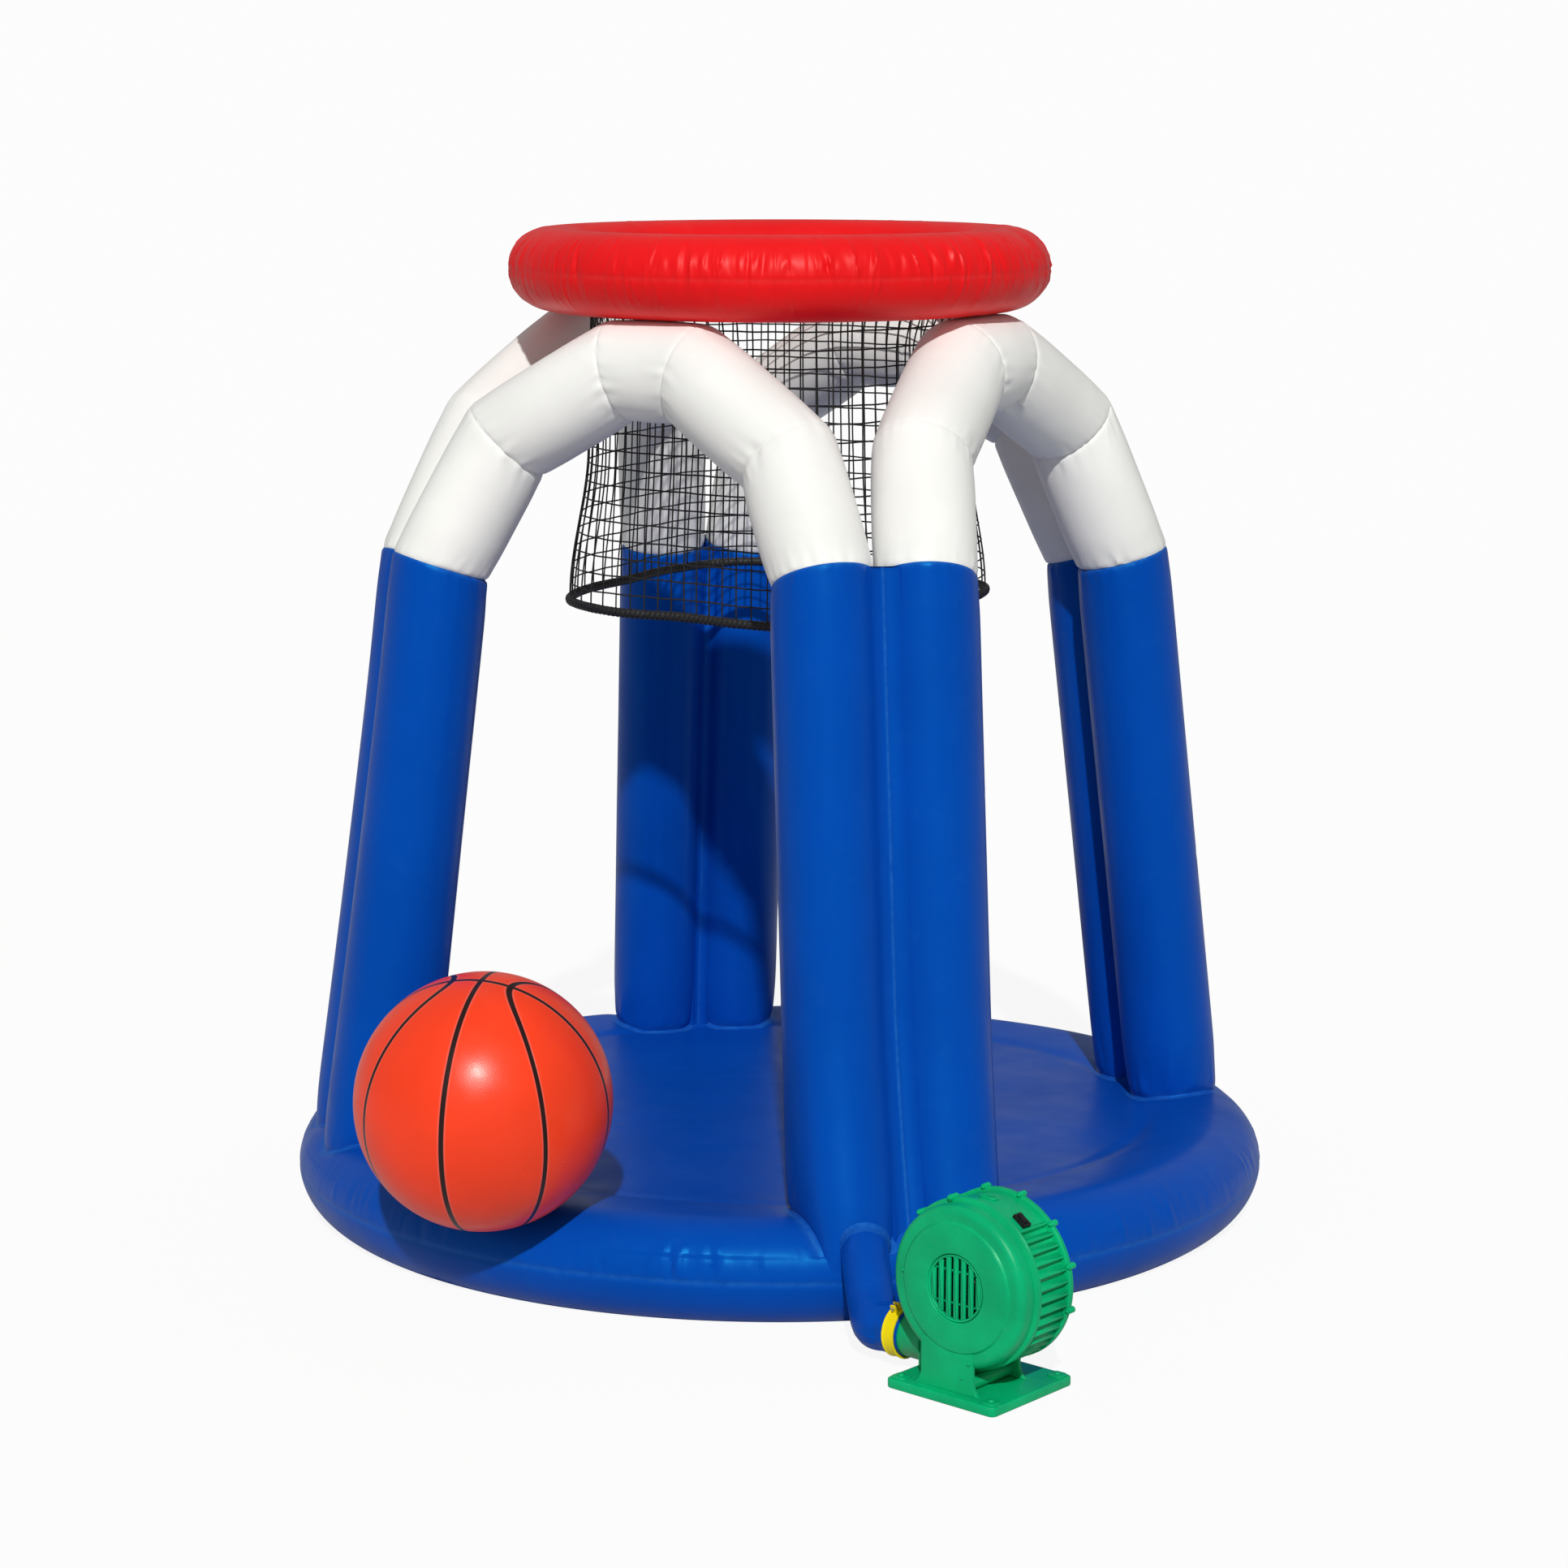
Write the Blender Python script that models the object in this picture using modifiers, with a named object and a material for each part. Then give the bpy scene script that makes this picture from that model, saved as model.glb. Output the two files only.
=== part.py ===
"""Inflatable basketball hoop: a round air base, four pairs of leg tubes, four mitred
arches, a leaning hoop ring with its net, an inflation sleeve, its blower and a ball.

Metres, +Z up. The origin is the centre of the base on the ground. An azimuth is counted
from -Y towards +X, so the four archways face azimuths 0, 90, 180 and 270 degrees, and
the leg pairs stand between them. Run it in Blender 4.5.
"""

import math

import bmesh
import bpy
from mathutils import Matrix, Vector

# Fit
GAP = 0.0003
ARCH_COUNT = 4

# Base
BASE_RIM_RADIUS = 0.994
BASE_TUBE_RADIUS = 0.106
BASE_FLATTENING = 0.012
BASE_LEVEL = BASE_TUBE_RADIUS - BASE_FLATTENING
FLOOR_EDGE_RISE = 0.044
FLOOR_CROWN = 0.030
FLOOR_EDGE_HEIGHT = BASE_LEVEL + FLOOR_EDGE_RISE
FLOOR_CENTRE_HEIGHT = FLOOR_EDGE_HEIGHT + FLOOR_CROWN

# Leg pairs: two tubes side by side, leaning in
TUBE_RADIUS = 0.107
PAIR_INSET = 0.043
PAIR_RADIUS_AT_GROUND = BASE_RIM_RADIUS - PAIR_INSET
PAIR_LEAN = 0.117
JUNCTION_HEIGHT = 1.444

# Arches: shoulder and crown corners, as half width and distance out from the axis
SHOULDER_HALF_WIDTH = 0.353
SHOULDER_OUT = 0.553
SHOULDER_HEIGHT = 1.740
CROWN_HALF_WIDTH = 0.088
CROWN_OUT = 0.500
CROWN_HEIGHT = 1.897

# Hoop ring: the ring, its crowns and its net all lean together
HOOP_LEAN_DEG = 5.5
HOOP_LEAN_AZIMUTH_DEG = 31.0
HOOP_RADIUS = 0.511
HOOP_TUBE_RADIUS = 0.089

# Net and its two ropes
NET_DROP = 0.536
NET_STRAND = 0.006
NET_PANELS_PER_SIDE = 2
NET_COLUMNS_PER_PANEL = 3
NET_ROWS = 7
NET_WAIST_SHARE = 0.19
NET_WAIST_SIDE = 0.383
NET_FOOT_SIDE = 0.402
NET_WAIST_CORNER = 0.434
NET_FOOT_CORNER = 0.482
TOP_ROPE_RADIUS = 0.007
TOP_ROPE_ANGLE_DEG = 202.5
FOOT_ROPE_RADIUS = 0.011
TOP_ROPE_BED = 0.0008
STRAND_BED_AT_TOP = 0.0021
STRAND_BED_AT_FOOT = 0.0016

# Blower, in its own frame: intake towards -Y, outlet towards -X
BLOWER_AZIMUTH_DEG = 45.556
BLOWER_CLEARANCE = 0.3567
BLOWER_TURN_DEG = -11.0
FOOT_WIDTH = 0.250
FOOT_DEPTH = 0.240
FOOT_THICKNESS = 0.018
FOOT_CHAMFER = 0.004
FOOT_HOLE_RADIUS = 0.0045
FOOT_HOLE_INSET = 0.020
WEB_THICKNESS = 0.008
WEB_HALF_WIDTH = 0.059
WEB_TOE = 0.018
WEB_TOE_HEIGHT = 0.030
FAN_X = 0.020
HOUSING_RADIUS = 0.150
HOUSING_WALL = 0.004
FAN_CLEARANCE = 0.062
FAN_HEIGHT = HOUSING_RADIUS + FAN_CLEARANCE
FLANGE_REACH = 0.008
FLANGE_RADIUS = HOUSING_RADIUS + FLANGE_REACH
FLANGE_THICKNESS = 0.004
FRONT_FACE = 0.100
FRONT_STEP = 0.004
FRONT_STEP_INSET = 0.030
FRONT_STEP_RADIUS = HOUSING_RADIUS - FRONT_STEP_INSET
FRONT_SEAM = 0.055
REAR_SEAM = -0.040
REAR_FACE = -0.056
COVER_WALL = 0.0035
BOSS_RADIUS = 0.006
BOSS_COUNT = 12
RIB_COUNT = 28
RIB_HEIGHT = 0.005
RIB_WIDTH = 0.005
RIB_FIRST_DEG = -20.0
RIB_SWEEP_DEG = 240.0

GRILLE_RADIUS = 0.062
GRILLE_SLOTS = 8
GRILLE_SLOT_WIDTH = 0.0055
GRILLE_SLOT_PITCH = 0.0135
GRILLE_MARGIN = 0.006

MOTOR_RADIUS = 0.050
MOTOR_FRONT = -0.020
MOTOR_REAR = -0.098
MOTOR_COVER_CLEARANCE = 0.008
BEARING_RADIUS = 0.011
BEARING_WIDTH = 0.007
SHAFT_RADIUS = 0.004
SHAFT_FRONT = 0.046

IMPELLER_CLEARANCE = 0.045
IMPELLER_RADIUS = HOUSING_RADIUS - IMPELLER_CLEARANCE
IMPELLER_EYE_RADIUS = 0.062
IMPELLER_HUB_RADIUS = 0.016
IMPELLER_PLATE = 0.003
IMPELLER_REAR = -0.010
IMPELLER_WIDTH = 0.062
BLADE_COUNT = 11
BLADE_THICKNESS = 0.0026
BLADE_SWEEP_DEG = 38.0

OUTLET_Y = -0.0075
OUTLET_HEIGHT = 0.068
OUTLET_WALL = 0.003
SCROLL_INSET = 0.025
SCROLL_END = FAN_X - HOUSING_RADIUS + SCROLL_INSET
NECK_LENGTH = 0.085
OUTLET_END = SCROLL_END - NECK_LENGTH
# The scroll's corners, as shares of the housing's radius
SCROLL_RIGHT = 0.567
SCROLL_LEFT = 0.633
SCROLL_TOP = 0.567
SCROLL_LOW = 0.787
SCROLL_TOE = 0.200

SWITCH_AZIMUTH_DEG = 35.0
SWITCH_LENGTH = 0.030
SWITCH_WIDTH = 0.020
SWITCH_HEIGHT = 0.007
ROCKER_LENGTH = 0.018
ROCKER_WIDTH = 0.010
ROCKER_HEIGHT = 0.008
ROCKER_TILT_DEG = 9.0

GLAND_RADIUS = 0.009
GLAND_LENGTH = 0.018
GLAND_BORE = 0.004
GLAND_DROP = 0.034

# Sleeve from the base to the blower's outlet, and the strap that clamps it
SLEEVE_RADIUS = 0.0465
SLEEVE_WALL = 0.002
CUFF_OVERLAP = 0.035
CUFF_LEAD = 0.020
CUFF_START = OUTLET_END - CUFF_LEAD
CUFF_END = OUTLET_END + CUFF_OVERLAP
# The sleeve's route: azimuth, distance out from the rim's centre line, height above it
SLEEVE_ROUTE = (
    (39.966, 0.0211, 0.048),
    (39.670, 0.0869, 0.044),
    (39.342, 0.1606, 0.020),
    (39.263, 0.2227, -0.008),
)
STRAP_WIDTH = 0.026
STRAP_CENTRE = OUTLET_END + CUFF_OVERLAP / 2 - 0.0015
STRAP_THICKNESS = 0.003
STRAP_LUG = 0.014
STRAP_LUG_ANGLE_DEG = 205.0
STRAP_SCREW_RADIUS = 0.0025
STRAP_SCREW_LENGTH = 0.022

# Ball, resting on the rim of the base
BALL_RADIUS = 0.255
BALL_OUTWARD_DEG = 22.5

# Facets
TUBE_SIDES = 24
RING_STEPS = 48
RING_SIDES = 16
FAN_STEPS = 28
SLEEVE_SIDES = 16

# The neck fills the sleeve's flats
OUTLET_RADIUS = (SLEEVE_RADIUS - SLEEVE_WALL) * math.cos(math.pi / SLEEVE_SIDES) - GAP

BLUE = (0.004, 0.045, 0.42)
WHITE = (0.80, 0.80, 0.79)
RED = (0.66, 0.008, 0.012)
GREEN = (0.006, 0.36, 0.13)
BLACK = (0.012, 0.012, 0.014)
YELLOW = (0.88, 0.68, 0.01)
ORANGE = (0.86, 0.06, 0.012)
STEEL = (0.55, 0.56, 0.58)


def clear_scene():
    for thing in list(bpy.data.objects):
        bpy.data.objects.remove(thing, do_unlink=True)


def new_collection(name, hidden=False):
    group = bpy.data.collections.new(name)
    bpy.context.scene.collection.children.link(group)
    group.hide_render = hidden
    return group


def finish(name, colour, roughness=0.5, metallic=0.0):
    """A plain Principled material, made once for each name."""
    made = bpy.data.materials.get(name)
    if made:
        return made
    made = bpy.data.materials.new(name)
    made.use_nodes = True
    shader = made.node_tree.nodes["Principled BSDF"]
    shader.inputs["Base Color"].default_value = (*colour, 1.0)
    shader.inputs["Roughness"].default_value = roughness
    shader.inputs["Metallic"].default_value = metallic
    return made


def add_object(name, mesh, material, matrix=None):
    made = bpy.data.objects.new(name, mesh)
    mesh.materials.append(material)
    PARTS.objects.link(made)
    if matrix is not None:
        made.matrix_world = matrix
    return made


def add_cutter(name, mesh, matrix=None):
    made = bpy.data.objects.new(name, mesh)
    CUTTERS.objects.link(made)
    made.hide_render = True
    made.display_type = "WIRE"
    if matrix is not None:
        made.matrix_world = matrix
    return made


def mesh_from(name, shape):
    """Turns a bmesh into a mesh, with its faces pointing out."""
    bmesh.ops.recalc_face_normals(shape, faces=shape.faces)
    mesh = bpy.data.meshes.new(name)
    shape.to_mesh(mesh)
    shape.free()
    return mesh


def smooth(thing, angle_deg=35.0):
    thing.data.shade_smooth()
    thing.data.set_sharp_from_angle(angle=math.radians(angle_deg))
    return thing


def boolean(thing, other, operation):
    cut = thing.modifiers.new(operation.title() + " " + other.name, "BOOLEAN")
    cut.operation = operation
    cut.object = other
    cut.solver = "EXACT"


def cut_by(thing, *others):
    for other in others:
        boolean(thing, other, "DIFFERENCE")


def joined_with(thing, *others):
    for other in others:
        boolean(thing, other, "UNION")


def profile_mesh(name, points, closed):
    """Edges in the XZ plane through (radius, height) points."""
    shape = bmesh.new()
    corners = [shape.verts.new((radius, 0.0, height)) for radius, height in points]
    for first, second in zip(corners, corners[1:]):
        shape.edges.new((first, second))
    if closed:
        shape.edges.new((corners[-1], corners[0]))
    mesh = bpy.data.meshes.new(name)
    shape.to_mesh(mesh)
    shape.free()
    return mesh


def turn(thing, steps):
    """Turns the object's profile about its own Z."""
    screw = thing.modifiers.new("Turn", "SCREW")
    screw.axis = "Z"
    screw.angle = math.tau
    screw.steps = steps
    screw.render_steps = steps
    screw.use_merge_vertices = True
    screw.merge_threshold = 0.00002
    screw.use_smooth_shade = True


def turned(name, points, material, steps, closed=False, matrix=None):
    made = add_object(name, profile_mesh(name, points, closed), material, matrix)
    turn(made, steps)
    return made


def turned_cutter(name, points, steps, closed=False, matrix=None):
    made = add_cutter(name, profile_mesh(name, points, closed), matrix)
    turn(made, steps)
    return made


def cylinder_mesh(name, radius, low, high, sides):
    """A capped cylinder along Z."""
    shape = bmesh.new()
    bmesh.ops.create_cone(
        shape,
        cap_ends=True,
        segments=sides,
        radius1=radius,
        radius2=radius,
        depth=high - low,
        matrix=Matrix.Translation((0.0, 0.0, (low + high) / 2)),
    )
    return mesh_from(name, shape)


def add_box(shape, size, matrix):
    """Adds a box of this size to a bmesh."""
    scale = Matrix.Diagonal((*size, 1.0))
    bmesh.ops.create_cube(shape, size=1.0, matrix=matrix @ scale)


def box_mesh(name, size, centre=(0.0, 0.0, 0.0)):
    shape = bmesh.new()
    add_box(shape, size, Matrix.Translation(centre))
    return mesh_from(name, shape)


def slab_mesh(name, outline, near, far):
    """A flat outline of (x, z) points, thickened along Y from near to far."""
    shape = bmesh.new()
    front = [shape.verts.new((x, near, z)) for x, z in outline]
    face = shape.faces.new(front)
    raised = bmesh.ops.extrude_face_region(shape, geom=[face])
    moved = [part for part in raised["geom"] if isinstance(part, bmesh.types.BMVert)]
    bmesh.ops.translate(shape, verts=moved, vec=(0.0, far - near, 0.0))
    return mesh_from(name, shape)


def arc_points(centre, radius, first_deg, last_deg, count):
    """Points on an arc, both ends included, as (x, y) pairs."""
    turns = (first_deg + (last_deg - first_deg) * i / (count - 1) for i in range(count))
    angles = [math.radians(turn_deg) for turn_deg in turns]
    return [
        (centre[0] + radius * math.cos(angle), centre[1] + radius * math.sin(angle))
        for angle in angles
    ]


def outward(azimuth_deg):
    angle = math.radians(azimuth_deg)
    return Vector((math.sin(angle), -math.cos(angle), 0.0))


def sideways(azimuth_deg):
    angle = math.radians(azimuth_deg)
    return Vector((math.cos(angle), math.sin(angle), 0.0))


def hoop_frame():
    """The leaning frame of the crowns, the ring and the net. It turns about a level line
    through the axis at the crowns' height, so the side at the lean azimuth is low."""
    axis = Vector((0.0, 0.0, 1.0)).cross(outward(HOOP_LEAN_AZIMUTH_DEG))
    lean = Matrix.Rotation(math.radians(HOOP_LEAN_DEG), 4, axis)
    return Matrix.Translation((0.0, 0.0, CROWN_HEIGHT)) @ lean


def rim_profile(grown=0.0):
    """The rim tube's section, closed by the flat that it stands on."""
    centre = (BASE_RIM_RADIUS, BASE_LEVEL)
    radius = BASE_TUBE_RADIUS + grown
    step = 360.0 / RING_SIDES
    flat_half = math.sqrt(radius**2 - centre[1] ** 2)
    lowest = math.ceil(math.degrees(-math.asin(centre[1] / radius)) / step) * step
    count = round((180.0 - 2 * lowest) / step) + 1
    arc = arc_points(centre, radius, 180.0 - lowest, lowest, count)
    inner_foot = (BASE_RIM_RADIUS - flat_half, 0.0)
    outer_foot = (BASE_RIM_RADIUS + flat_half, 0.0)
    return [inner_foot, *arc, outer_foot]


def floor_top(grown=0.0):
    """Points along the floor panel's gentle crown, from the centre to the rim tube."""
    edge = BASE_RIM_RADIUS - math.sqrt((BASE_TUBE_RADIUS + GAP) ** 2 - FLOOR_EDGE_RISE**2)
    shares = (0.0, 0.4, 0.75, 1.0)
    return [
        (edge * share, FLOOR_CENTRE_HEIGHT + grown - FLOOR_CROWN * share**3) for share in shares
    ]


def floor_profile():
    """The floor panel: its crown, then down along the rim tube, then its flat foot."""
    centre = (BASE_RIM_RADIUS, BASE_LEVEL)
    reach = BASE_TUBE_RADIUS + GAP
    edge_radius = BASE_RIM_RADIUS - reach / math.cos(math.radians(180.0 / RING_SIDES))
    top = floor_top()
    step_deg = 360.0 / RING_SIDES
    shoulder = arc_points(centre, reach, 180.0 - step_deg, 180.0, 2)
    inside = [
        (min(top[-1][0], shoulder[0][0]), top[-1][1]),
        (edge_radius, centre[1]),
        (edge_radius, 0.0),
        (0.0, 0.0),
    ]
    return [*top[:-1], *inside]


def base_cutter():
    """The top of the whole base, grown by the gap, then straight down from the rim's
    widest to below the ground."""
    tube_top = rim_profile(grown=GAP)
    inner = [point for point in tube_top if point[0] < BASE_RIM_RADIUS]
    rising = [point for point in inner if point[1] > FLOOR_EDGE_HEIGHT]
    falling = [
        point for point in tube_top if point[0] >= BASE_RIM_RADIUS and point[1] > BASE_LEVEL - GAP
    ]
    depth = -0.5 * BASE_TUBE_RADIUS
    below = [(falling[-1][0], depth), (0.0, depth)]
    return turned_cutter("base_cutter", [*floor_top(grown=GAP), *rising, *falling, *below], RING_STEPS)


def aligned(start, direction, across):
    """A frame at start with Z along direction and X as near across as it can be."""
    z_axis = direction.normalized()
    x_axis = (across - z_axis * across.dot(z_axis)).normalized()
    y_axis = z_axis.cross(x_axis)
    turn_part = Matrix((x_axis, y_axis, z_axis)).transposed().to_4x4()
    return Matrix.Translation(start) @ turn_part


def mitred_tube_mesh(name, start, end, start_normal, end_normal, across, radius):
    """A tube from start to end whose ends are cut by the planes with these normals, half
    a gap short of the corner so that neighbours don't touch."""
    along = (end - start).normalized()
    spare = 2.0 * radius
    frame = aligned(start, along, across)
    shape = bmesh.new()
    length = (end - start).length + 2.0 * spare
    middle = Matrix.Translation((0.0, 0.0, length / 2 - spare))
    bmesh.ops.create_cone(
        shape,
        cap_ends=True,
        segments=TUBE_SIDES,
        radius1=radius,
        radius2=radius,
        depth=length,
        matrix=frame @ middle,
    )
    cuts = (
        (start + along * GAP / 2, -start_normal),
        (end - along * GAP / 2, end_normal),
    )
    for point, normal in cuts:
        everything = shape.verts[:] + shape.edges[:] + shape.faces[:]
        bmesh.ops.bisect_plane(
            shape, geom=everything, plane_co=point, plane_no=normal, clear_outer=True
        )
        open_edges = [edge for edge in shape.edges if edge.is_boundary]
        bmesh.ops.contextual_create(shape, geom=open_edges)
    return mesh_from(name, shape)


def arch_corners(azimuth_deg):
    """The corners of one arch and its two legs, from the foot at the low azimuth over the
    crown to the other foot."""
    side = sideways(azimuth_deg)
    out = outward(azimuth_deg)
    up = Vector((0.0, 0.0, 1.0))
    half_pair = (TUBE_RADIUS + GAP / 2) * math.sqrt(0.5)
    leaning = hoop_frame()

    def leg_point(height):
        reach = (PAIR_RADIUS_AT_GROUND - PAIR_LEAN * height) * math.sqrt(0.5)
        return reach - half_pair, reach + half_pair, height

    def top_point(half_width, distance, height, sign):
        flat = side * half_width * sign + out * distance + up * (height - CROWN_HEIGHT)
        return leaning @ flat

    def low_points(sign):
        return [
            side * sign * across + out * distance + up * height
            for across, distance, height in (leg_point(0.0), leg_point(JUNCTION_HEIGHT))
        ]

    def high_points(sign):
        return [
            top_point(SHOULDER_HALF_WIDTH, SHOULDER_OUT, SHOULDER_HEIGHT, sign),
            top_point(CROWN_HALF_WIDTH, CROWN_OUT, CROWN_HEIGHT, sign),
        ]

    left = low_points(-1.0) + high_points(-1.0)
    right = low_points(1.0) + high_points(1.0)
    return left + right[::-1]


def make_arch(label, azimuth_deg, cutter):
    """Five white segments between two blue legs, mitred at every corner."""
    names = (
        "leg_{}_left",
        "arch_{}_lower_left",
        "arch_{}_upper_left",
        "arch_{}_crown",
        "arch_{}_upper_right",
        "arch_{}_lower_right",
        "leg_{}_right",
    )
    corners = arch_corners(azimuth_deg)
    runs = [(b - a).normalized() for a, b in zip(corners, corners[1:])]
    normals = [runs[0]]
    normals += [(a + b).normalized() for a, b in zip(runs, runs[1:])]
    normals.append(runs[-1])
    across = outward(azimuth_deg)
    for i, form in enumerate(names):
        name = form.format(label)
        is_leg = i in (0, len(names) - 1)
        material = finish("blue_vinyl", BLUE, 0.38) if is_leg else finish("white_vinyl", WHITE, 0.42)
        mesh = mitred_tube_mesh(
            name, corners[i], corners[i + 1], normals[i], normals[i + 1], across, TUBE_RADIUS
        )
        made = smooth(add_object(name, mesh, material))
        if is_leg:
            cut_by(made, cutter)


def leg_cutter(label, azimuth_deg, first):
    """One leg tube grown by the gap, to cope what is welded against it."""
    corners = arch_corners(azimuth_deg)
    foot, junction = (corners[0], corners[1]) if first else (corners[-1], corners[-2])
    along = (junction - foot).normalized()
    mesh = mitred_tube_mesh(
        "cutter_" + label, foot, junction, along, along, outward(azimuth_deg), TUBE_RADIUS + GAP
    )
    return add_cutter("cutter_" + label, mesh)


def make_base():
    blue = finish("blue_vinyl", BLUE, 0.38)
    turned("base_rim", rim_profile(), blue, RING_STEPS, closed=True)
    turned("base_floor", floor_profile(), blue, RING_STEPS)


def hoop_height():
    """How far the ring's centre line lies above the crowns' centre lines."""
    reach = TUBE_RADIUS + HOOP_TUBE_RADIUS + GAP
    return math.sqrt(reach**2 - (HOOP_RADIUS - CROWN_OUT) ** 2)


def make_hoop():
    section = arc_points((HOOP_RADIUS, hoop_height()), HOOP_TUBE_RADIUS, 90.0, -270.0, RING_SIDES + 1)
    red = finish("red_vinyl", RED, 0.30)
    turned("hoop_ring", section[:-1], red, RING_STEPS, closed=True, matrix=hoop_frame())


def eased(share, stops):
    """A value that eases from stop to stop; each stop is (share, value)."""
    for (left, low), (right, high) in zip(stops, stops[1:]):
        if share <= right:
            part = (share - left) / (right - left)
            return low + (high - low) * part * part * (3.0 - 2.0 * part)
    return stops[-1][1]


def top_rope_place():
    """Radius and height of the top rope, which is laced against the ring's inner side."""
    reach = HOOP_TUBE_RADIUS + TOP_ROPE_RADIUS - TOP_ROPE_BED + GAP
    angle = math.radians(TOP_ROPE_ANGLE_DEG)
    return HOOP_RADIUS + reach * math.cos(angle), hoop_height() + reach * math.sin(angle)


def net_radius(azimuth_deg, share):
    """The net is square with round corners: its sides keep clear of the crowns, and its
    corners point at the leg pairs."""
    top = top_rope_place()[0]
    side = eased(share, ((0.0, top), (NET_WAIST_SHARE, NET_WAIST_SIDE), (1.0, NET_FOOT_SIDE)))
    corner = eased(share, ((0.0, top), (0.5, NET_WAIST_CORNER), (1.0, NET_FOOT_CORNER)))
    weight = (1.0 - math.cos(math.radians(ARCH_COUNT * azimuth_deg))) / 2
    return side + (corner - side) * weight


def net_heights():
    """Heights of the net's upper and lower edge strands, between the two ropes."""
    top = top_rope_place()[1] - TOP_ROPE_RADIUS - STRAND_BED_AT_TOP - GAP
    return top, -NET_DROP + FOOT_ROPE_RADIUS + STRAND_BED_AT_FOOT + GAP


def make_net_panel(name, azimuth_deg, half_turn):
    """One panel of the net: a grid laid on the net's surface, made into strands."""
    top, foot = net_heights()
    shape = bmesh.new()
    bmesh.ops.create_grid(
        shape, x_segments=NET_COLUMNS_PER_PANEL, y_segments=NET_ROWS, size=1.0
    )
    for corner in shape.verts:
        share = (1.0 - corner.co.y) / 2
        edge = azimuth_deg + math.copysign(half_turn, corner.co.x)
        clear = (NET_STRAND + GAP) / 2 / net_radius(edge, share)
        azimuth = azimuth_deg + corner.co.x * (half_turn - math.degrees(clear))
        place = outward(azimuth) * net_radius(azimuth, share)
        corner.co = (place.x, place.y, top + (foot - top) * share)
    made = add_object(name, mesh_from(name, shape), finish("black_cord", BLACK, 0.7), hoop_frame())
    strands = made.modifiers.new("Strands", "WIREFRAME")
    strands.thickness = NET_STRAND
    strands.use_boundary = True
    strands.use_replace = True
    strands.use_even_offset = False
    return made


def make_rope(name, radius, height, reach_at):
    """A closed rope loop whose centre line lies reach_at(azimuth) out from the axis."""
    curve = bpy.data.curves.new(name, "CURVE")
    curve.dimensions = "3D"
    curve.bevel_depth = radius
    curve.bevel_resolution = 1
    line = curve.splines.new("POLY")
    line.points.add(RING_STEPS - 1)
    for i, point in enumerate(line.points):
        azimuth = 360.0 * i / RING_STEPS
        place = outward(azimuth) * reach_at(azimuth)
        point.co = (place.x, place.y, height, 1.0)
    line.use_cyclic_u = True
    return add_object(name, curve, finish("black_cord", BLACK, 0.7), hoop_frame())


def make_net():
    half_turn = 180.0 / ARCH_COUNT / NET_PANELS_PER_SIDE
    for label, azimuth_deg in SIDES:
        make_net_panel(f"net_{label}_left", azimuth_deg - half_turn, half_turn)
        make_net_panel(f"net_{label}_right", azimuth_deg + half_turn, half_turn)
    top_radius, top_height = top_rope_place()
    make_rope("net_top_rope", TOP_ROPE_RADIUS, top_height, lambda azimuth: top_radius)
    make_rope("net_foot_rope", FOOT_ROPE_RADIUS, -NET_DROP, lambda azimuth: net_radius(azimuth, 1.0))


def blower_frame():
    reach = BASE_RIM_RADIUS + BASE_TUBE_RADIUS + BLOWER_CLEARANCE
    turned_by = Matrix.Rotation(math.radians(BLOWER_TURN_DEG), 4, "Z")
    return Matrix.Translation(outward(BLOWER_AZIMUTH_DEG) * reach) @ turned_by


def fan_frame():
    """On the fan's axis: Z towards the intake, Y up, X to the viewer's right."""
    place = Matrix.Translation((FAN_X, 0.0, FAN_HEIGHT))
    return blower_frame() @ place @ Matrix.Rotation(math.radians(90.0), 4, "X")


def outlet_frame():
    """On the outlet's axis: Z runs with the blower's X."""
    place = Matrix.Translation((0.0, OUTLET_Y, OUTLET_HEIGHT))
    return blower_frame() @ place @ Matrix.Rotation(math.radians(90.0), 4, "Y")


def web_outline(top):
    """The stand's upright, flared at its toes."""
    bottom = FOOT_THICKNESS + GAP
    toe_top = bottom + WEB_TOE_HEIGHT
    flare = arc_points((WEB_HALF_WIDTH + WEB_TOE, toe_top), WEB_TOE, 270.0, 180.0, 4)
    lift = [(x, bottom + (z - toe_top + WEB_TOE) * WEB_TOE_HEIGHT / WEB_TOE) for x, z in flare]
    right = [*lift, (WEB_HALF_WIDTH, top)]
    left = [(-x, z) for x, z in reversed(right)]
    return right + left


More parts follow.
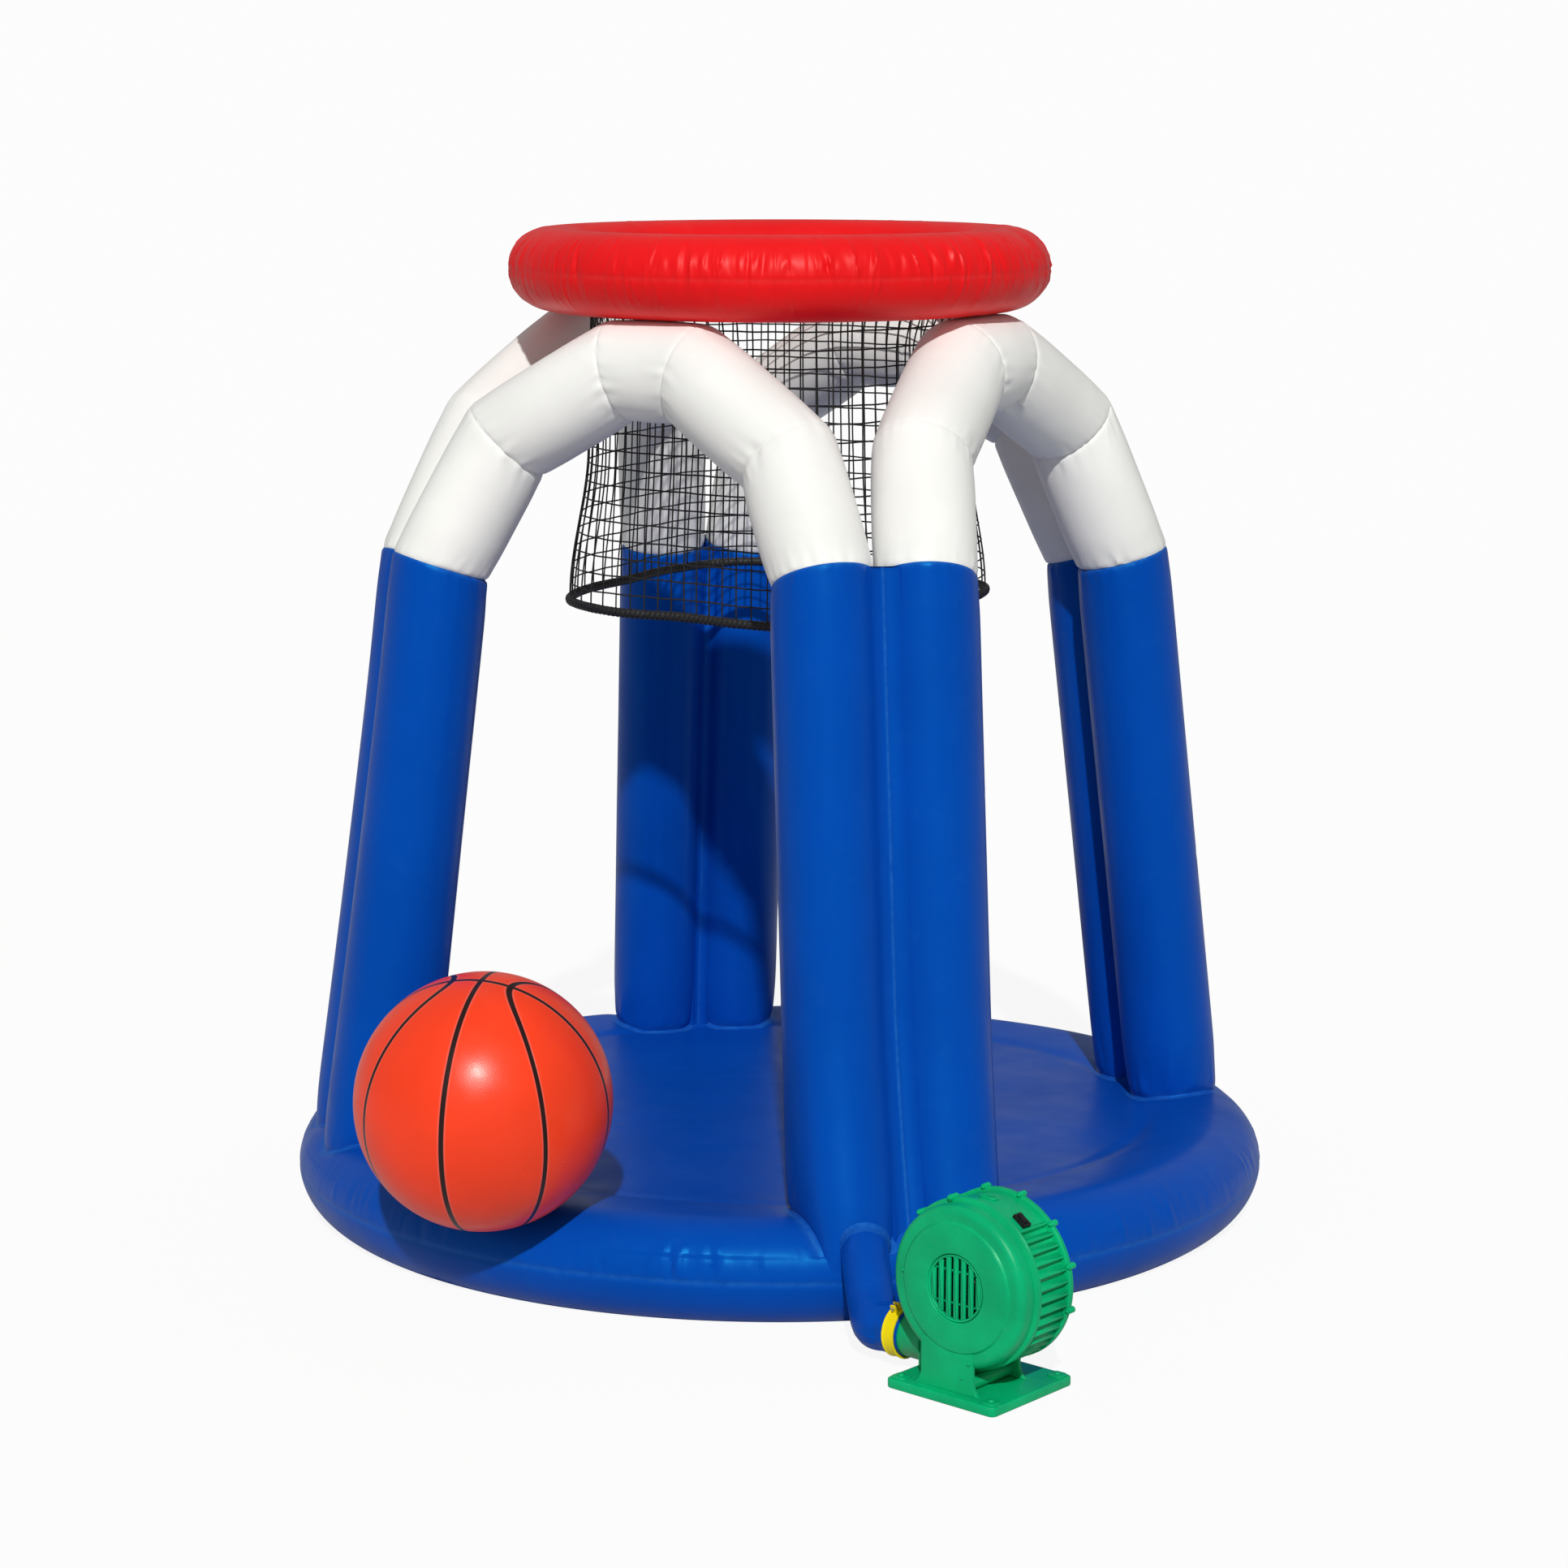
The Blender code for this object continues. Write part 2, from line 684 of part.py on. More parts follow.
def make_front_cover():
    green = finish("green_plastic", GREEN, 0.32)
    wall = COVER_WALL
    shoulder = arc_points((HOUSING_RADIUS - 0.014, FRONT_FACE - FRONT_STEP - 0.016), 0.014, 85.0, 0.0, 4)
    outside = [
        (GRILLE_RADIUS, FRONT_FACE),
        (FRONT_STEP_RADIUS - 0.002, FRONT_FACE),
        (FRONT_STEP_RADIUS, FRONT_FACE - FRONT_STEP),
        *shoulder,
        (HOUSING_RADIUS, FRONT_SEAM + FLANGE_THICKNESS),
        (FLANGE_RADIUS, FRONT_SEAM + FLANGE_THICKNESS),
        (FLANGE_RADIUS, FRONT_SEAM),
    ]
    inside = [
        (HOUSING_RADIUS - wall, FRONT_SEAM),
        (HOUSING_RADIUS - wall, FRONT_FACE - FRONT_STEP - 0.016),
        (HOUSING_RADIUS - 0.014, FRONT_FACE - FRONT_STEP - wall),
        (FRONT_STEP_RADIUS - 0.002 - wall, FRONT_FACE - FRONT_STEP - wall),
        (FRONT_STEP_RADIUS - 0.004 - wall, FRONT_FACE - wall),
        (GRILLE_RADIUS, FRONT_FACE - wall),
    ]
    cover = turned("blower_front_cover", outside + inside, green, FAN_STEPS, True, fan_frame())
    web = slab_mesh(
        "front_web", web_outline(FAN_HEIGHT - 0.7 * HOUSING_RADIUS), 0.0, WEB_THICKNESS
    )
    place = blower_frame() @ Matrix.Translation((0.0, -FRONT_FACE + FRONT_STEP / 2, 0.0))
    keeper = add_cutter("front_web", web, place)
    joined_with(cover, keeper, boss_ring("front_bosses", FRONT_SEAM, FRONT_SEAM + 0.012))
    cut_by(cover, inside_cutter("front_inside", FRONT_SEAM, FRONT_FACE - FRONT_STEP - 0.018))


def inside_cutter(name, low, high):
    mesh = cylinder_mesh(name, HOUSING_RADIUS - HOUSING_WALL, low - 0.001, high, FAN_STEPS)
    return add_cutter(name, mesh, fan_frame())


def boss_ring(name, low, high):
    """Screw bosses round a flange, left out where the outlet and the stand are."""
    shape = bmesh.new()
    for i in range(BOSS_COUNT):
        angle_deg = 360.0 * (i + 0.5) / BOSS_COUNT
        if 185.0 < angle_deg < 300.0:
            continue
        angle = math.radians(angle_deg)
        reach = FLANGE_RADIUS
        place = Matrix.Translation(
            (reach * math.cos(angle), reach * math.sin(angle), (low + high) / 2)
        )
        bmesh.ops.create_cone(
            shape,
            cap_ends=True,
            segments=8,
            radius1=BOSS_RADIUS,
            radius2=BOSS_RADIUS,
            depth=high - low,
            matrix=place,
        )
    return add_cutter(name, mesh_from(name, shape), fan_frame())


def rib_ring():
    """Ribs along the drum's outside, from flange to flange."""
    shape = bmesh.new()
    low = REAR_SEAM + 0.5 * FLANGE_THICKNESS
    high = FRONT_SEAM - 0.5 * FLANGE_THICKNESS
    for i in range(RIB_COUNT):
        angle_deg = RIB_FIRST_DEG + RIB_SWEEP_DEG * i / (RIB_COUNT - 1)
        if abs(angle_deg - (90.0 - SWITCH_AZIMUTH_DEG)) < 9.0:
            continue
        rotated = Matrix.Rotation(math.radians(angle_deg), 4, "Z")
        middle = Matrix.Translation((HOUSING_RADIUS + RIB_HEIGHT / 2 - 0.001, 0.0, (low + high) / 2))
        add_box(shape, (RIB_HEIGHT + 0.002, RIB_WIDTH, high - low), rotated @ middle)
    return add_cutter("drum_ribs", mesh_from("drum_ribs", shape), fan_frame())


def make_drum():
    """The ribbed band, its two flanges, the scroll and the outlet neck."""
    green = finish("green_plastic", GREEN, 0.32)
    high = FRONT_SEAM - GAP
    low = REAR_SEAM + GAP
    outline = [
        (0.0, high),
        (FLANGE_RADIUS, high),
        (FLANGE_RADIUS, high - FLANGE_THICKNESS),
        (HOUSING_RADIUS, high - FLANGE_THICKNESS),
        (HOUSING_RADIUS, low + FLANGE_THICKNESS),
        (FLANGE_RADIUS, low + FLANGE_THICKNESS),
        (FLANGE_RADIUS, low),
        (0.0, low),
    ]
    drum = turned("blower_drum", outline, green, FAN_STEPS, False, fan_frame())
    reach = OUTLET_RADIUS
    scroll_outline = [
        (FAN_X + SCROLL_RIGHT * HOUSING_RADIUS, FAN_HEIGHT - SCROLL_LOW * HOUSING_RADIUS),
        (FAN_X - SCROLL_TOE * HOUSING_RADIUS, OUTLET_HEIGHT - reach),
        (SCROLL_END, OUTLET_HEIGHT - reach),
        (SCROLL_END, OUTLET_HEIGHT + reach),
        (FAN_X - SCROLL_LEFT * HOUSING_RADIUS, FAN_HEIGHT - SCROLL_TOP * HOUSING_RADIUS),
        (FAN_X + SCROLL_RIGHT * HOUSING_RADIUS, FAN_HEIGHT - SCROLL_TOP * HOUSING_RADIUS),
    ]
    scroll = slab_mesh("scroll", scroll_outline, OUTLET_Y - reach, OUTLET_Y + reach)
    neck = cylinder_mesh("neck", reach, OUTLET_END, SCROLL_END + 0.02, TUBE_SIDES)
    joined_with(
        drum,
        add_cutter("scroll", scroll, blower_frame()),
        add_cutter("neck", neck, outlet_frame()),
        rib_ring(),
        boss_ring("drum_bosses", FRONT_SEAM - GAP - 0.010, FRONT_SEAM - GAP),
    )
    bore = cylinder_mesh("outlet_bore", reach - OUTLET_WALL, OUTLET_END - 0.02, FAN_X, TUBE_SIDES)
    cut_by(
        drum,
        inside_cutter("drum_inside", REAR_SEAM, FRONT_SEAM + 0.001),
        add_cutter("outlet_bore", bore, outlet_frame()),
    )


def make_rear_cover():
    """The dished rear cover with the motor's round housing and the rear upright."""
    green = finish("green_plastic", GREEN, 0.32)
    wall = COVER_WALL
    bump = MOTOR_RADIUS + MOTOR_COVER_CLEARANCE
    end = MOTOR_REAR - GAP - wall
    outline = [
        (0.0, end + wall),
        (bump, end + wall),
        (bump, REAR_FACE + wall),
        (HOUSING_RADIUS - wall, REAR_SEAM - 0.008),
        (HOUSING_RADIUS - wall, REAR_SEAM),
        (FLANGE_RADIUS, REAR_SEAM),
        (FLANGE_RADIUS, REAR_SEAM - FLANGE_THICKNESS),
        (HOUSING_RADIUS, REAR_SEAM - FLANGE_THICKNESS),
        (HOUSING_RADIUS - 0.002, REAR_SEAM - 0.012),
        (bump + wall + 0.004, REAR_FACE),
        (bump + wall, REAR_FACE - 0.004),
        (bump + wall, end + 0.005),
        (bump + wall - 0.005, end),
        (0.0, end),
    ]
    cover = turned("blower_rear_cover", outline, green, FAN_STEPS, False, fan_frame())
    web = slab_mesh("rear_web", web_outline(FAN_HEIGHT - 0.85 * HOUSING_RADIUS), 0.0, WEB_THICKNESS)
    place = blower_frame() @ Matrix.Translation((0.0, -REAR_SEAM + 0.0005, 0.0))
    joined_with(
        cover,
        add_cutter("rear_web", web, place),
        boss_ring("rear_bosses", REAR_SEAM - 0.010, REAR_SEAM),
    )
    inside = cylinder_mesh(
        "rear_inside", HOUSING_RADIUS - HOUSING_WALL, REAR_SEAM - 0.007, REAR_SEAM + 0.02, FAN_STEPS
    )
    cut_by(cover, add_cutter("rear_inside", inside, fan_frame()))


def make_foot_plate():
    shape = bmesh.new()
    centre = Matrix.Translation((0.0, 0.0, FOOT_THICKNESS / 2))
    add_box(shape, (FOOT_WIDTH, FOOT_DEPTH, FOOT_THICKNESS), centre)
    top_edges = [edge for edge in shape.edges if min(v.co.z for v in edge.verts) > FOOT_THICKNESS / 2]
    bmesh.ops.bevel(shape, geom=top_edges, offset=FOOT_CHAMFER, segments=2, affect="EDGES", profile=0.5)
    mesh = mesh_from("blower_foot_plate", shape)
    plate = add_object("blower_foot_plate", mesh, finish("green_plastic", GREEN, 0.32), blower_frame())
    holes = bmesh.new()
    across = FOOT_WIDTH / 2 - FOOT_HOLE_INSET
    deep = FOOT_DEPTH / 2 - FOOT_HOLE_INSET
    for x in (-across, across):
        for y in (-deep, deep):
            bmesh.ops.create_cone(
                holes,
                cap_ends=True,
                segments=12,
                radius1=FOOT_HOLE_RADIUS,
                radius2=FOOT_HOLE_RADIUS,
                depth=3 * FOOT_THICKNESS,
                matrix=Matrix.Translation((x, y, FOOT_THICKNESS / 2)),
            )
    cut_by(plate, add_cutter("foot_holes", mesh_from("foot_holes", holes), blower_frame()))


def make_grille():
    """The intake grille: a round insert with upright slots."""
    radius = GRILLE_RADIUS - GAP
    mesh = cylinder_mesh("intake_grille", radius, FRONT_FACE - COVER_WALL, FRONT_FACE, FAN_STEPS)
    made = add_object("intake_grille", mesh, finish("green_plastic", GREEN, 0.32), fan_frame())
    slots = bmesh.new()
    reach = radius - GRILLE_MARGIN
    for i in range(GRILLE_SLOTS):
        x = (i - (GRILLE_SLOTS - 1) / 2) * GRILLE_SLOT_PITCH
        half = math.sqrt(reach**2 - (abs(x) + GRILLE_SLOT_WIDTH / 2) ** 2)
        place = Matrix.Translation((x, 0.0, FRONT_FACE - COVER_WALL / 2))
        add_box(slots, (GRILLE_SLOT_WIDTH, 2 * half, 4 * COVER_WALL), place)
    cut_by(made, add_cutter("grille_slots", mesh_from("grille_slots", slots), fan_frame()))


def make_motor():
    """The motor can with a bearing pocket at each end, two bearings and the shaft."""
    steel = finish("steel", STEEL, 0.35, 0.9)
    pocket = BEARING_RADIUS + GAP
    depth = BEARING_WIDTH + GAP
    bore = SHAFT_RADIUS + 0.002
    can = [
        (pocket, MOTOR_FRONT),
        (MOTOR_RADIUS - 0.004, MOTOR_FRONT),
        (MOTOR_RADIUS, MOTOR_FRONT - 0.004),
        (MOTOR_RADIUS, MOTOR_REAR + 0.004),
        (MOTOR_RADIUS - 0.004, MOTOR_REAR),
        (pocket, MOTOR_REAR),
        (pocket, MOTOR_REAR + depth),
        (bore, MOTOR_REAR + depth),
        (bore, MOTOR_FRONT - depth),
        (pocket, MOTOR_FRONT - depth),
    ]
    turned("motor_can", can, finish("dark_plastic", BLACK, 0.5), TUBE_SIDES, True, fan_frame())
    for name, low in (
        ("motor_front_bearing", MOTOR_FRONT - BEARING_WIDTH),
        ("motor_rear_bearing", MOTOR_REAR),
    ):
        race = [
            (SHAFT_RADIUS + GAP, low + BEARING_WIDTH),
            (BEARING_RADIUS, low + BEARING_WIDTH),
            (BEARING_RADIUS, low),
            (SHAFT_RADIUS + GAP, low),
        ]
        turned(name, race, steel, TUBE_SIDES, True, fan_frame())
    shaft = cylinder_mesh("motor_shaft", SHAFT_RADIUS, MOTOR_REAR + 0.001, SHAFT_FRONT, TUBE_SIDES)
    smooth(add_object("motor_shaft", shaft, steel, fan_frame()))


def blade_outline(inner, outer):
    """A blade seen along the fan's axis: two arcs that sweep back as they go out."""
    count = 5
    sides = ([], [])
    for i in range(count):
        share = i / (count - 1)
        radius = inner + (outer - inner) * share
        angle = math.radians(-BLADE_SWEEP_DEG * share**1.3)
        half = BLADE_THICKNESS / 2 / radius
        for side, offset in zip(sides, (-half, half)):
            side.append((radius * math.cos(angle + offset), radius * math.sin(angle + offset)))
    return sides[0] + sides[1][::-1]


def make_impeller():
    """Backward-swept blades between a back plate and a front shroud, on a hub."""
    dark = finish("dark_plastic", BLACK, 0.5)
    plate_top = IMPELLER_REAR + IMPELLER_PLATE
    shroud_low = IMPELLER_REAR + IMPELLER_WIDTH - IMPELLER_PLATE
    bore = SHAFT_RADIUS + GAP
    hub_top = SHAFT_FRONT - 0.004
    disc = [
        (bore, hub_top),
        (IMPELLER_HUB_RADIUS * 0.7, hub_top),
        (IMPELLER_HUB_RADIUS, plate_top + 0.006),
        (IMPELLER_HUB_RADIUS + 0.008, plate_top),
        (IMPELLER_RADIUS, plate_top),
        (IMPELLER_RADIUS, IMPELLER_REAR),
        (bore, IMPELLER_REAR),
    ]
    impeller = turned("impeller", disc, dark, FAN_STEPS, True, fan_frame())
    shroud = [
        (IMPELLER_EYE_RADIUS, shroud_low + IMPELLER_PLATE + 0.006),
        (IMPELLER_EYE_RADIUS + IMPELLER_PLATE, shroud_low + IMPELLER_PLATE + 0.006),
        (IMPELLER_EYE_RADIUS + 0.010, shroud_low + IMPELLER_PLATE),
        (IMPELLER_RADIUS, shroud_low + IMPELLER_PLATE),
        (IMPELLER_RADIUS, shroud_low),
        (IMPELLER_EYE_RADIUS + 0.008, shroud_low),
    ]
    ring = turned_cutter("shroud", shroud, FAN_STEPS, True, fan_frame())
    blades = bmesh.new()
    outline = blade_outline(IMPELLER_EYE_RADIUS - 0.012, IMPELLER_RADIUS - 0.001)
    for i in range(BLADE_COUNT):
        spun = Matrix.Rotation(math.tau * i / BLADE_COUNT, 4, "Z")
        low = plate_top - 0.001
        corners = [blades.verts.new(spun @ Vector((x, y, low))) for x, y in outline]
        raised = bmesh.ops.extrude_face_region(blades, geom=[blades.faces.new(corners)])
        moved = [part for part in raised["geom"] if isinstance(part, bmesh.types.BMVert)]
        bmesh.ops.translate(blades, verts=moved, vec=(0.0, 0.0, shroud_low + 0.001 - low))
    joined_with(impeller, ring, add_cutter("blades", mesh_from("blades", blades), fan_frame()))


def switch_frame():
    """On the drum's outside: Z points out, X runs round the drum, Y along the fan axis."""
    spun = Matrix.Rotation(math.radians(-SWITCH_AZIMUTH_DEG), 4, "Z")
    place = Matrix.Translation((0.0, HOUSING_RADIUS + GAP, (FRONT_SEAM + REAR_SEAM) / 2 + 0.012))
    return fan_frame() @ spun @ place @ Matrix.Rotation(math.radians(-90.0), 4, "X")


def make_switch():
    """A rocker in a square bezel. The rocker's origin is on its pivot."""
    dark = finish("dark_plastic", BLACK, 0.5)
    outer = box_mesh(
        "switch_bezel", (SWITCH_LENGTH, SWITCH_WIDTH, SWITCH_HEIGHT), (0.0, 0.0, SWITCH_HEIGHT / 2)
    )
    bezel = add_object("switch_bezel", outer, dark, switch_frame())
    well = (ROCKER_LENGTH + 0.003, ROCKER_WIDTH + 2 * GAP, SWITCH_HEIGHT)
    pocket = box_mesh("switch_well", well, (0.0, 0.0, SWITCH_HEIGHT / 2 + 0.002))
    cut_by(bezel, add_cutter("switch_well", pocket, switch_frame()))
    pivot = Matrix.Translation((0.0, 0.0, SWITCH_HEIGHT))
    tilt = Matrix.Rotation(math.radians(ROCKER_TILT_DEG), 4, "Y")
    half = ROCKER_LENGTH / 2
    profile = [
        (-half, -0.0015),
        (0.0, -0.0045),
        (half, -0.0015),
        (half, ROCKER_HEIGHT - 0.0045),
        (0.0, ROCKER_HEIGHT - 0.0060),
        (-half, ROCKER_HEIGHT - 0.0045),
    ]
    rocker = slab_mesh("switch_rocker", profile, -ROCKER_WIDTH / 2, ROCKER_WIDTH / 2)
    add_object("switch_rocker", rocker, dark, switch_frame() @ pivot @ tilt)


def make_gland():
    """The cord's gland on the back of the motor housing, low down."""
    back = MOTOR_REAR - GAP - COVER_WALL - GAP
    tip = back - GLAND_LENGTH
    outline = [
        (0.0, back),
        (GLAND_RADIUS + 0.003, back),
        (GLAND_RADIUS + 0.003, back - 0.004),
        (GLAND_RADIUS, back - 0.005),
        (GLAND_RADIUS * 0.75, tip),
        (GLAND_BORE, tip),
        (GLAND_BORE, tip + 0.010),
        (0.0, tip + 0.010),
    ]
    place = fan_frame() @ Matrix.Translation((0.0, -GLAND_DROP, 0.0))
    turned("cord_gland", outline, finish("dark_plastic", BLACK, 0.5), 16, False, place)


def smooth_route(points, per_span):
    """Points along a smooth curve through the route's own points."""
    line = [2 * points[0] - points[1], *points, 2 * points[-1] - points[-2]]
    route = []
    for a, b, c, d in zip(line, line[1:], line[2:], line[3:]):
        for i in range(per_span):
            t = i / per_span
            route.append(
                0.5
                * (
                    2 * b
                    + (c - a) * t
                    + (2 * a - 5 * b + 4 * c - d) * t**2
                    + (3 * b - a - 3 * c + d) * t**3
                )
            )
    return [*route, points[-1]]


def outlet_point(x):
    return blower_frame() @ Vector((x, OUTLET_Y, OUTLET_HEIGHT))


def make_sleeve(base):
    """A thin tube coped to the rim and to the leg, and slipped over the outlet neck."""
    route = [
        outward(azimuth_deg) * (BASE_RIM_RADIUS + out) + Vector((0.0, 0.0, BASE_LEVEL + above))
        for azimuth_deg, out, above in SLEEVE_ROUTE
    ]
    route += [outlet_point(CUFF_START - 0.03), outlet_point(CUFF_START)]
    curve = bpy.data.curves.new("sleeve_line", "CURVE")
    curve.dimensions = "3D"
    curve.bevel_depth = SLEEVE_RADIUS
    curve.bevel_resolution = (SLEEVE_SIDES - 4) // 2
    line = curve.splines.new("POLY")
    points = [*smooth_route(route, 2), outlet_point(CUFF_END)]
    line.points.add(len(points) - 1)
    for target, point in zip(line.points, points):
        target.co = (*point, 1.0)
    guide = bpy.data.objects.new("sleeve_line", curve)
    CUTTERS.objects.link(guide)
    bpy.context.view_layer.update()
    graph = bpy.context.evaluated_depsgraph_get()
    mesh = bpy.data.meshes.new_from_object(guide.evaluated_get(graph))
    bpy.data.objects.remove(guide)
    mesh.materials.clear()
    made = smooth(add_object("inflation_sleeve", mesh, finish("blue_vinyl", BLUE, 0.38)))
    wall = made.modifiers.new("Wall", "SOLIDIFY")
    wall.thickness = SLEEVE_WALL
    wall.offset = -1.0
    cut_by(
        made,
        base,
        leg_cutter("leg_front_right", 0.0, False),
        leg_cutter("leg_right_left", 90.0, True),
    )


def make_strap():
    """The band that clamps the cuff to the neck, with its two lugs and its screw."""
    yellow = finish("yellow_strap", YELLOW, 0.4)
    inner = SLEEVE_RADIUS + GAP
    outer = inner + STRAP_THICKNESS
    low = STRAP_CENTRE - STRAP_WIDTH / 2
    high = STRAP_CENTRE + STRAP_WIDTH / 2
    band = [(inner, high), (outer, high), (outer, low), (inner, low)]
    strap = turned("sleeve_strap", band, yellow, FAN_STEPS, True, outlet_frame())
    spun = Matrix.Rotation(math.radians(STRAP_LUG_ANGLE_DEG), 4, "Z")
    lugs = bmesh.new()
    for y in (-0.005, 0.005):
        centre = Matrix.Translation((outer + STRAP_LUG / 2 - 0.001, y, STRAP_CENTRE))
        add_box(lugs, (STRAP_LUG, 0.003, STRAP_WIDTH * 0.6), spun @ centre)
    joined_with(strap, add_cutter("strap_lugs", mesh_from("strap_lugs", lugs), outlet_frame()))
    on_screw = spun @ Matrix.Translation((outer + STRAP_LUG * 0.55, 0.0, STRAP_CENTRE))
    on_screw = outlet_frame() @ on_screw @ Matrix.Rotation(math.radians(90.0), 4, "X")
    half = STRAP_SCREW_LENGTH / 2
    hole = cylinder_mesh("strap_hole", STRAP_SCREW_RADIUS + GAP, -half, half, 12)
    cut_by(strap, add_cutter("strap_hole", hole, on_screw))
    screw = [
        (0.0, 0.0068 + 0.003 + GAP),
        (0.0042, 0.0068 + 0.003 + GAP),
        (0.0042, 0.0068 + GAP),
        (STRAP_SCREW_RADIUS, 0.0068 + GAP),
        (STRAP_SCREW_RADIUS, -half),
        (0.0, -half),
    ]
    turned("strap_screw", screw, finish("steel", STEEL, 0.35, 0.9), 12, False, on_screw)


def make_ball():
    """The ball touches the rim a little outside its top, with a corner of its mesh there."""
    reach = BASE_TUBE_RADIUS + BALL_RADIUS + GAP
    angle = math.radians(BALL_OUTWARD_DEG)
    centre = Vector(
        (
            0.0,
            -BASE_RIM_RADIUS - reach * math.sin(angle),
            BASE_LEVEL + reach * math.cos(angle),
        )
    )
    shape = bmesh.new()
    bmesh.ops.create_uvsphere(shape, u_segments=24, v_segments=16, radius=BALL_RADIUS)
    tilt = Matrix.Rotation(angle, 4, "X")
    mesh = mesh_from("play_ball", shape)
    smooth(add_object("play_ball", mesh, finish("orange_vinyl", ORANGE, 0.35), Matrix.Translation(centre) @ tilt))


SIDES = (("front", 0.0), ("right", 90.0), ("rear", 180.0), ("left", 270.0))

clear_scene()
PARTS = new_collection("inflatable_basketball_hoop")
CUTTERS = new_collection("cutters", hidden=True)


def main():
    bpy.context.scene.unit_settings.system = "METRIC"
    base = base_cutter()
    make_base()
    for label, azimuth_deg in SIDES:
        make_arch(label, azimuth_deg, base)
    make_hoop()
    make_net()
    make_front_cover()
    make_drum()
    make_rear_cover()
    make_foot_plate()
    make_grille()
    make_motor()
    make_impeller()
    make_switch()
    make_gland()
    make_sleeve(base)
    make_strap()
    make_ball()


main()
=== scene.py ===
"""Dresses the inflatable basketball hoop and sets up its studio view.

Every size is in metres and every piece sits where the model's own solids sit: +Z is up,
the origin is the centre of the base on the ground, and an azimuth is counted from -Y
towards +X. Each new surface is worked out as whole arrays, from a function of two
parameters or from a profile carried along a path.
"""

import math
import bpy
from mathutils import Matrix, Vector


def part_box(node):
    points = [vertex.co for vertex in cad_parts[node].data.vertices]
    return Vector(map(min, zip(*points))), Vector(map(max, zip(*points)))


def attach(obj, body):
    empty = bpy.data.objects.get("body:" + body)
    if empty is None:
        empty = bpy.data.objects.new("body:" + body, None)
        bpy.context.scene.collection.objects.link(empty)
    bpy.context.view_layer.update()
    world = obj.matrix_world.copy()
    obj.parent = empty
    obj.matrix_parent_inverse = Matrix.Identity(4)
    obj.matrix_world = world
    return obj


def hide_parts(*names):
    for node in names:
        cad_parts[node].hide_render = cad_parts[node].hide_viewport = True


bl_info = {
    "name": "Inflatable Basketball Hoop",
    "version": (1, 0, 0),
    "blender": (4, 5, 0),
    "location": "View3D > Sidebar > Hoop",
    "description": "Makes the skins, net, blower, ball and studio of an inflatable basketball hoop",
    "category": "Object",
}

import bmesh
import bpy
import numpy as np
from bpy.props import FloatProperty, FloatVectorProperty, IntProperty, PointerProperty
from mathutils import Vector

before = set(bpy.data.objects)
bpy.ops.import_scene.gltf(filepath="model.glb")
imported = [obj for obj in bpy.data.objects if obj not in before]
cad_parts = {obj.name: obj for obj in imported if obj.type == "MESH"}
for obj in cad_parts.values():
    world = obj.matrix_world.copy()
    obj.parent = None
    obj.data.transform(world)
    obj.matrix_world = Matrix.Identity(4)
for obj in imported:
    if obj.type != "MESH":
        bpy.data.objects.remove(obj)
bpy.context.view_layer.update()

TAU = 2.0 * math.pi
UP = np.array([0.0, 0.0, 1.0])
WHITE = (1.0, 1.0, 1.0)
# Colour that scuffs and rubbed prints go towards
PALE = (0.8, 0.8, 0.8)
# What the camera sees of the world, a little under white
SHOWN_WHITE = 0.978
SIDES = (("front", 0.0), ("right", 90.0), ("rear", 180.0), ("left", 270.0))
FLOOR_TOP = float(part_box("base_floor")[1][2])
BALL_LOW, BALL_HIGH = (np.array(corner, dtype=float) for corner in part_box("play_ball"))
BALL_CENTRE = (BALL_LOW + BALL_HIGH) / 2.0
BALL_RADIUS = float(BALL_HIGH[2] - BALL_LOW[2]) / 2.0
# Room left between two pieces that rest on each other
GAP = 0.0003


# Sizes and colours that a user would change


def length(label, words, value):
    return FloatProperty(name=label, description=words, default=value, unit="LENGTH", precision=4)


def colour(label, words, value):
    return FloatVectorProperty(
        name=label, description=words, default=value, subtype="COLOR", min=0.0, max=1.0, size=3
    )


def share(label, words, value):
    return FloatProperty(
        name=label, description=words, default=value, subtype="FACTOR", min=0.0, max=1.0
    )


def number(label, words, value):
    return FloatProperty(name=label, description=words, default=value)


class BaseSettings(bpy.types.PropertyGroup):
    vinyl: colour("Vinyl colour", "Fabric of the base, the legs and the sleeve", (0.0010, 0.063, 0.420))
    # The same tint, made a little paler, is the colour that welds are painted towards: partly wear, partly a
    # painted highlight.
    reflection: colour("Reflection colour", "Tint of what the coated fabric reflects", (0.04, 0.60, 1.0))
    gloss: share("Roughness", "How rough the coated fabric is", 0.36)
    rim_radius: length("Rim radius", "Centre line of the rim tube", 0.994)
    rim_tube: length("Rim tube radius", "Radius of the rim tube", 0.106)
    sunk: length("Sunk by", "How far the rim is flattened on the ground", 0.012)
    fullness: length("Floor fullness", "How far the floor's skin swells above its solid", 0.014)
    blend: length("Blend width", "Width over which the floor rises into the rim", 0.230)
    valley: length("Valley depth", "Depth of the faint valley between floor and rim", 0.0045)
    seam: length("Seam depth", "Depth of the welded seam round the rim", 0.0030)
    pucker: length("Pucker height", "Height of the wrinkles above the seam", 0.0062)


